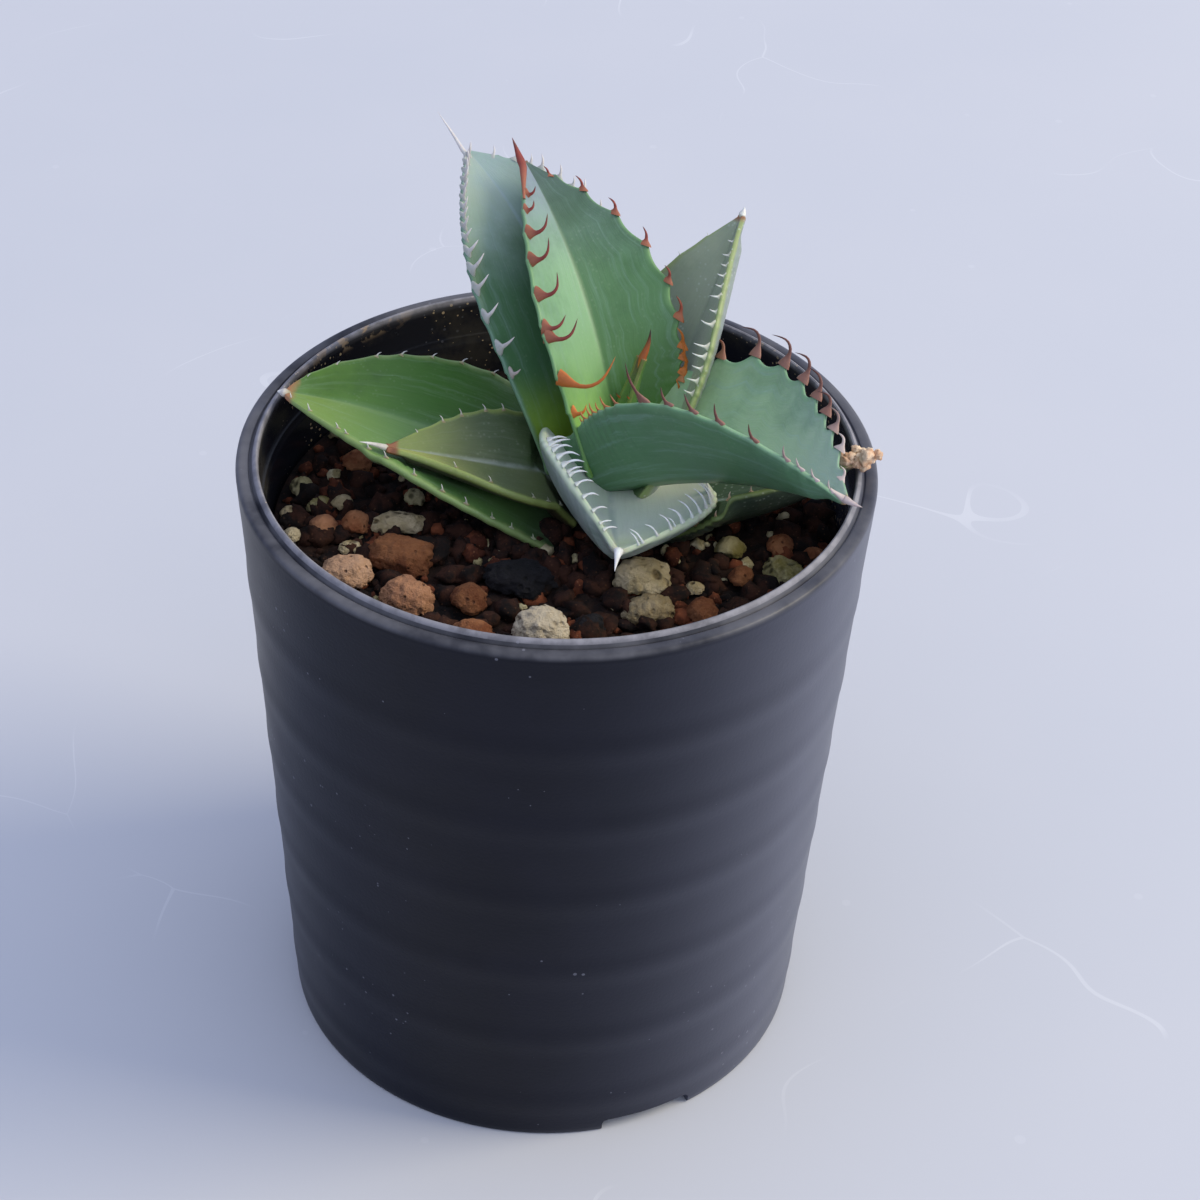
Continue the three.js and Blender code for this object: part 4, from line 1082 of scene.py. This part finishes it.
def make_blade(name, leaf, material):
    """A leaf without its teeth: a closed folded blade with a keel beneath."""
    blade = rolled_grid(name, BLADE["along"], BLADE["around"])
    marks = {"along": [], "side": [], "under": []}
    frames = {}
    for vertex in blade.data.vertices:
        u = (vertex.co.x + 1) / 2
        angle = math.pi * (vertex.co.y + 0.5)
        share = round(-leaf["foot"] + u * (1 + leaf["foot"]), 6)
        if share not in frames:
            frames[share] = leaf_frame(leaf, share)
        side = math.copysign(abs(math.cos(angle)) ** 1.35, math.cos(angle))
        if abs(side) < 0.0001:
            side = 0.0
        place, _, normal = face_point(leaf, frames[share], share, side)
        thickness = blade_thickness(leaf, share, side)
        bulge = math.copysign(abs(math.sin(angle)) ** BLADE["roundness"], math.sin(angle))
        end = smooth(-0.001, 0.012, u) * smooth(-0.001, 0.01, 1 - u)
        offset = -thickness / 2 + bulge * thickness / 2 * end
        middle = frames[share][0] - frames[share][3] * (thickness / 2)
        point = place + normal * offset
        if u < 0.002 or u > 0.998:
            point = middle
        vertex.co = point * MM
        marks["along"].append(share)
        marks["side"].append(side)
        marks["under"].append(1 - smooth(-0.25, 0.1, math.sin(angle)))
    for key, values in marks.items():
        mark(blade, key, values)
    close_mesh(blade)
    only(blade)
    bpy.ops.object.shade_smooth()
    settle(blade, name + "_blade", material, leaf["slot"], name)


def shape_hook(hook, path, widths, wide, flat):
    """Bends a rolled grid along a path of points; widths are half widths, wide is their direction."""
    steps = len(path) - 1
    lengths = []
    for vertex in hook.data.vertices:
        u = (vertex.co.x + 1) / 2
        angle = math.pi * (vertex.co.y + 1)
        lengths.append(u)
        spot = min(steps - 1, int(u * steps))
        rest = u * steps - spot
        centre = path[spot].lerp(path[spot + 1], rest)
        ahead = (path[spot + 1] - path[spot]).normalized()
        across = (wide - ahead * wide.dot(ahead)).normalized()
        up = ahead.cross(across)
        width = widths(u)
        aside = across * (width * math.cos(angle)) + up * (width * flat(u) * math.sin(angle))
        vertex.co = (centre + aside) * MM
    mark(hook, "along", lengths)


def hook_path(base, directions, start, end, length, steps=9):
    """Points on a smooth arc that leaves one way and ends another."""
    def towards(parts):
        outward, along, normal = directions
        return (outward * parts[0] + along * parts[1] + normal * parts[2]).normalized()

    first = towards(start)
    last = towards(end)
    path = [base]
    for i in range(steps):
        share = (i + 0.5) / steps
        path.append(path[-1] + first.lerp(last, smooth(0.1, 0.95, share)).normalized() * (length / steps))
    return path


TOOTH = {"along": 12, "around": 10, "sunk": 0.5}


def tooth_width(base):
    """Half width along a tooth, from a flared foot to a fine point."""
    def width(u):
        if u >= 0.995:
            return 0.0
        flare = base * 0.62 * (1 - smooth(0.0, 0.34, u))
        shaft = base * 0.3 * (1 - u) ** 0.7
        return max(0.02, flare + shaft)
    return width


def tooth_flatness(u):
    """How flat a tooth is: flat at its foot and rounder towards the point."""
    return 0.36 + 0.5 * smooth(0.1, 0.6, u)


def make_hook(leaf, share, sign, length, row, chance):
    """One tooth on a margin: broad flat foot, round shaft and hooked point."""
    hook = rolled_grid("tooth", TOOTH["along"], TOOTH["around"])
    here = leaf_frame(leaf, share)
    place, outward, normal = face_point(leaf, here, share, sign)
    directions = (outward, here[1], normal)
    base = place - outward * TOOTH["sunk"] - normal * 0.3
    vary = [component + (chance.random() - 0.5) * 0.5 for component in row["end"]]
    leave = [component + (chance.random() - 0.5) * 0.25 for component in row["start"]]
    path = hook_path(base, directions, leave, vary, length + TOOTH["sunk"])
    size = row["base"] * (0.55 + 0.45 * min(1.0, length / 2.5))
    shape_hook(hook, path, tooth_width(size), here[1], tooth_flatness)
    mark(hook, "shade", [share] * len(hook.data.vertices))
    return hook


SPINE_STEPS = {"on_margin": 6, "free": 9}


def make_spine(leaf):
    """The terminal spine; it may start some way back on a margin and run down it."""
    measures = leaf["spine"]
    start = measures["from"]
    path = []
    for i in range(SPINE_STEPS["on_margin"] + 1):
        share = lerp((start, 1.0), i / SPINE_STEPS["on_margin"])
        here = leaf_frame(leaf, share)
        if measures["side"]:
            place, _, normal = face_point(leaf, here, share, measures["side"])
        else:
            place, normal = here[0], here[3]
        path.append(place - normal * 0.2)
    here = leaf_frame(leaf, 1.0)
    last = path[-1]
    for i in range(1, SPINE_STEPS["free"] + 1):
        share = i / SPINE_STEPS["free"]
        reach = measures["length"] * share
        sway = -0.05 * measures["length"] * math.sin(math.pi * share)
        path.append(last + here[1] * reach + here[3] * (measures["lift"] * reach * share) + here[2] * sway)
    spine = rolled_grid("spine", 34, 12)
    swell = SPINE_STEPS["on_margin"] / sum(SPINE_STEPS.values())

    def width(u):
        if u >= 0.995:
            return 0.0
        if u < swell:
            return measures["base"] * (0.35 + 0.65 * smooth(0.0, swell, u))
        return measures["base"] * (1 - (u - swell) / (1 - swell)) ** 0.85

    shape_hook(spine, path, width, here[2], lambda u: 0.85)
    mark(spine, "shade", [1.0] * len(spine.data.vertices))
    return spine


def make_teeth(name, leaf, material):
    """All teeth and the terminal spine of a leaf, joined as one piece."""
    chance = random.Random(name)
    pieces = [make_spine(leaf)]
    for sign, key in ((-1, "minus"), (1, "plus")):
        row = leaf[key]
        for share, length in row["teeth"]:
            pieces.append(make_hook(leaf, share, sign, length, row, chance))
        for _ in range(row.get("fringe", 0)):
            share = 0.2 + 0.76 * chance.random()
            length = 0.7 + 1.3 * chance.random()
            pieces.append(make_hook(leaf, share, sign, length, row, chance))
    teeth = join(pieces)
    close_mesh(teeth, 0.000005)
    only(teeth)
    bpy.ops.object.shade_smooth()
    settle(teeth, name + "_teeth", material, leaf["slot"])


DRY_TIP = {"lumps": 16, "seed": 12, "from": 0.97, "step": 0.004, "size": (0.6, 1.25), "spread": 1.5}


def make_dry_tip():
    """The shrivelled tan lump on the tip of the low leaf at the right."""
    leaf = LEAVES["leaf_right_lower"]
    chance = random.Random(DRY_TIP["seed"])
    lumps = []
    for i in range(DRY_TIP["lumps"]):
        here = leaf_frame(leaf, DRY_TIP["from"] + DRY_TIP["step"] * i)
        lump = rough_ball(3, 0.5, 60 + i, 0.9)
        size = lerp(DRY_TIP["size"], chance.random())
        spread = [chance.uniform(-DRY_TIP["spread"], DRY_TIP["spread"]) for _ in range(3)]
        place = here[0] + here[1] * spread[0] + here[2] * spread[1] + here[3] * (spread[2] * 0.7)
        turn = random_turn(chance)
        stretch = Matrix.Diagonal((size * MM, size * MM * 0.7, size * MM * 0.8, 1))
        lump.data.transform(Matrix.Translation(place * MM) @ turn @ stretch)
        lumps.append(lump)
    tip = join(lumps)
    only(tip)
    bpy.ops.object.shade_smooth()
    material = soil_material("dry_leaf_tip", srgb(206, 158, 122), srgb(236, 212, 184), srgb(130, 76, 48))
    settle(tip, "leaf_right_lower_dry_tip", material, leaf["slot"])


# Leaf colours; the tints on each half are painted light on the lit half and painted shade on the shaded half
LEAF_LOOKS = {
    "leaf_bud": {
        "Root": srgb(96, 140, 60), "Middle": srgb(88, 130, 62), "Tip": srgb(90, 74, 44),
        "Under": srgb(84, 124, 60), "Edge": srgb(120, 130, 66), "Bloom": srgb(170, 140, 110),
        "Bloom Amount": 0.2,
    },
    "leaf_centre": {
        "Root": srgb(77, 132, 50), "Middle": srgb(76, 128, 78), "Tip": srgb(78, 108, 98),
        "Under": srgb(74, 118, 92), "Minus Tint": (0.95, 0.8, 0.82, 1), "Plus Tint": (2.9, 1.75, 2.7, 1),
        "Edge": srgb(108, 150, 96), "Bloom": srgb(132, 164, 154), "Bloom Amount": 0.45, "Root Reach": 0.42,
        "Midrib": srgb(60, 100, 60), "Midrib Strength": 0.3, "Midrib Width": 0.05, "Mottle": 0.55,
    },
    "leaf_right": {
        "Root": srgb(178, 200, 140), "Middle": srgb(148, 178, 138), "Tip": srgb(140, 160, 148),
        "Under": srgb(88, 130, 92), "Edge": srgb(112, 152, 114), "Bloom": srgb(136, 166, 158),
        "Bloom Amount": 0.55, "Root Reach": 0.25, "Midrib Strength": 0.1, "Print": 0.4, "Mottle": 0.6,
    },
    "leaf_back_left": {
        "Root": srgb(148, 182, 58), "Middle": srgb(72, 112, 72), "Tip": srgb(168, 184, 166),
        "Under": srgb(74, 112, 100), "Minus Tint": (0.85, 0.92, 1.0, 1), "Edge": srgb(100, 134, 116),
        "Bloom": srgb(150, 172, 172), "Bloom Amount": 0.75, "Root Reach": 0.3,
        "Midrib": srgb(150, 172, 176), "Midrib Strength": 0.55, "Midrib Width": 0.05,
        "Dry": srgb(190, 176, 168), "Dry From": 0.975,
    },
    # This leaf's very pale colours are painted light: sunlight on its inner face, which the leaf above it
    # otherwise shades
    "leaf_front": {
        "Root": srgb(222, 230, 214), "Middle": srgb(224, 232, 218), "Tip": srgb(192, 206, 170),
        "Under": srgb(120, 138, 126), "Edge": srgb(182, 196, 160), "Bloom": srgb(208, 216, 212),
        "Bloom Amount": 0.7, "Edge Width": 0.1, "Edge Strength": 0.6, "Midrib": srgb(150, 172, 176),
        "Midrib Strength": 0.4, "Dry": srgb(190, 180, 150), "Dry From": 0.975, "Mottle": 0.2,
    },
    "leaf_back_right": {
        "Root": srgb(106, 130, 92), "Middle": srgb(160, 170, 144), "Tip": srgb(166, 176, 144),
        "Under": srgb(138, 150, 146), "Edge": srgb(146, 160, 100), "Bloom": srgb(146, 158, 146),
        "Bloom Amount": 0.6, "Edge Width": 0.16, "Edge Strength": 0.85, "Speckle": 0.55,
        "Midrib": srgb(120, 134, 110), "Midrib Strength": 0.5, "Dry": srgb(150, 110, 80), "Dry From": 0.965,
    },
    "leaf_left_upper": {
        "Root": srgb(46, 54, 40), "Middle": srgb(66, 80, 54), "Tip": srgb(120, 132, 76),
        "Under": srgb(62, 56, 36), "Minus Tint": (1.0, 1.1, 0.8, 1), "Plus Tint": (2.3, 2.0, 1.7, 1),
        "Edge": srgb(142, 158, 84), "Bloom": srgb(118, 130, 108), "Bloom Amount": 0.35, "Edge Width": 0.12,
        "Midrib": srgb(150, 160, 150), "Midrib Strength": 0.7, "Midrib Width": 0.1, "Speckle": 0.08,
        "Dry": srgb(132, 84, 56), "Dry From": 0.93,
    },
    "leaf_right_lower": {
        "Root": srgb(50, 70, 44), "Middle": srgb(62, 88, 50), "Tip": srgb(112, 136, 66),
        "Under": srgb(54, 70, 56), "Edge": srgb(120, 136, 80), "Bloom": srgb(128, 142, 120),
        "Bloom Amount": 0.3, "Speckle": 0.3, "Dry": srgb(196, 160, 124), "Dry From": 0.93,
    },
    # Painted shade: this leaf's dark Root colour stands for the shade under the leaf above it, and the dark
    # tint on its minus (far) half for the shadow of the leaves at its right; the brighter tint on its near
    # half is painted light
    "leaf_left_lower": {
        "Root": srgb(40, 66, 44), "Middle": srgb(72, 118, 62), "Tip": srgb(96, 136, 48),
        "Under": srgb(66, 88, 62), "Minus Tint": (0.72, 0.78, 0.3, 1), "Plus Tint": (1.6, 1.2, 1.15, 1),
        "Edge": srgb(136, 158, 96), "Bloom": srgb(140, 166, 138), "Bloom Amount": 0.2, "Edge Width": 0.1,
        "Midrib": srgb(150, 174, 150), "Midrib Strength": 0.12, "Midrib Width": 0.12,
        "Dry": srgb(168, 118, 80), "Dry From": 0.955, "Mottle": 0.7,
    },
}


def leaf_material(name, look):
    """Waxy leaf skin in the colours of one leaf."""
    material, s, principled = new_material(name + "_skin")
    principled.inputs["Specular IOR Level"].default_value = 0.4
    let_light_in(principled, 0.12, (0.4, 1.0, 0.3), 1.2)
    made = place_group(s, leaf_skin, **{key.replace(" ", "_"): value for key, value in look.items()})
    s.feed(principled.inputs["Base Color"], made["Color"])
    s.feed(principled.inputs["Roughness"], made["Roughness"])
    bump(s, principled, made["Height"], 0.25, 0.0003)
    return material


# Tooth colours: root of the tooth, its middle, its tip, teeth low on the leaf, paleness of the last teeth
TOOTH_LOOKS = {
    "leaf_bud": (srgb(190, 120, 50), srgb(160, 84, 40), srgb(50, 34, 26), srgb(200, 130, 50), 0.0),
    "leaf_centre": (srgb(158, 96, 68), srgb(136, 54, 44), srgb(96, 40, 36), srgb(206, 116, 34), 0.0),
    "leaf_right": (srgb(140, 98, 84), srgb(108, 66, 58), srgb(74, 46, 44), srgb(186, 120, 62), 0.85),
    "leaf_back_left": (srgb(176, 180, 172), srgb(208, 204, 200), srgb(216, 210, 208), srgb(170, 150, 140),
        0.0),
    "leaf_front": (srgb(206, 212, 206), srgb(228, 230, 230), srgb(236, 236, 236), srgb(206, 206, 204), 0.0),
    "leaf_back_right": (srgb(200, 200, 176), srgb(224, 224, 214), srgb(232, 232, 226), srgb(214, 208, 190),
        0.0),
    "leaf_left_upper": (srgb(140, 130, 90), srgb(200, 196, 184), srgb(222, 220, 216), srgb(160, 164, 140),
        0.0),
    "leaf_right_lower": (srgb(180, 150, 112), srgb(196, 170, 140), srgb(206, 190, 170), srgb(150, 110, 80),
        0.0),
    "leaf_left_lower": (srgb(160, 150, 110), srgb(208, 204, 196), srgb(226, 224, 222), srgb(170, 180, 150),
        0.0),
}


def tooth_material(name, colours):
    """Horn that changes from the foot of a tooth to its point."""
    material, s, principled = new_material(name + "_horn", Roughness=0.5)
    let_light_in(principled, 0.1, (1.0, 0.6, 0.4), 0.6)
    along = s.attribute("along")
    base = s.mix(s.step(along, 0.1, 0.45), colours[0], colours[1])
    base = s.mix(s.step(along, 0.55, 0.95), base, colours[2])
    place = s.attribute("shade")
    base = s.mix(s.math("MULTIPLY", s.step(place, 0.78, 0.88), colours[4]), base, srgb(204, 190, 186))
    low = s.math("SUBTRACT", 1.0, s.step(place, 0.22, 0.38))
    base = s.mix(s.math("MULTIPLY", low, 0.85), base, colours[3])
    streaks = s.noise(900.0, 4.0, 0.6)
    streak_share = s.math("MULTIPLY", s.step(streaks, 0.4, 0.7), 0.35)
    base = s.mix(streak_share, base, s.tinted(base, (0.6, 0.55, 0.5, 1)))
    s.feed(principled.inputs["Base Color"], base)
    bump(s, principled, streaks, 0.3, 0.0002)
    return material


CROWN = {
    "place": (5.6, 4.6, 0), "steps": 40,
    "profile": [(0, 60), (2.7, 60), (3.2, 62), (3.4, 64), (3.4, 68), (3.5, 72), (3.4, 75), (3.2, 77.2),
                (2.6, 78.4), (1.5, 79.0), (0, 79.2)],
}


def make_crown():
    """The short stem between the leaf feet."""
    place = Vector(CROWN["place"]) * MM
    crown = spin_profile("crown", CROWN["profile"], CROWN["steps"])
    for vertex in crown.data.vertices:
        swell = noise.noise(vertex.co * 400) * 0.08
        vertex.co.x *= 1 + swell
        vertex.co.y *= 1 + swell
        vertex.co += place
    only(crown)
    bpy.ops.object.shade_smooth()
    material, s, principled = new_material("crown_skin", Roughness=0.6)
    base = place_group(s, mottle, First=srgb(120, 128, 62), Second=srgb(168, 160, 104), Scale=500.0)["Color"]
    s.feed(principled.inputs["Base Color"], base)
    bump(s, principled, s.noise(900.0, 5.0), 0.4, 0.0003)
    settle(crown, "crown_stem", material, "crown", "stem")


make_pot()
make_soil()
for sort in GRAINS:
    make_grains(sort)
stone_materials = {sort: stone_material(sort, look) for sort, look in STONE_LOOKS.items()}
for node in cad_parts:
    if node.rsplit("_", 1)[0] in STONE_LOOKS:
        make_stone(node, stone_materials)
make_crown()
for name, leaf in LEAVES.items():
    make_blade(name, leaf, leaf_material(name, LEAF_LOOKS[name]))
    make_teeth(name, leaf, tooth_material(name, TOOTH_LOOKS[name]))
make_dry_tip()
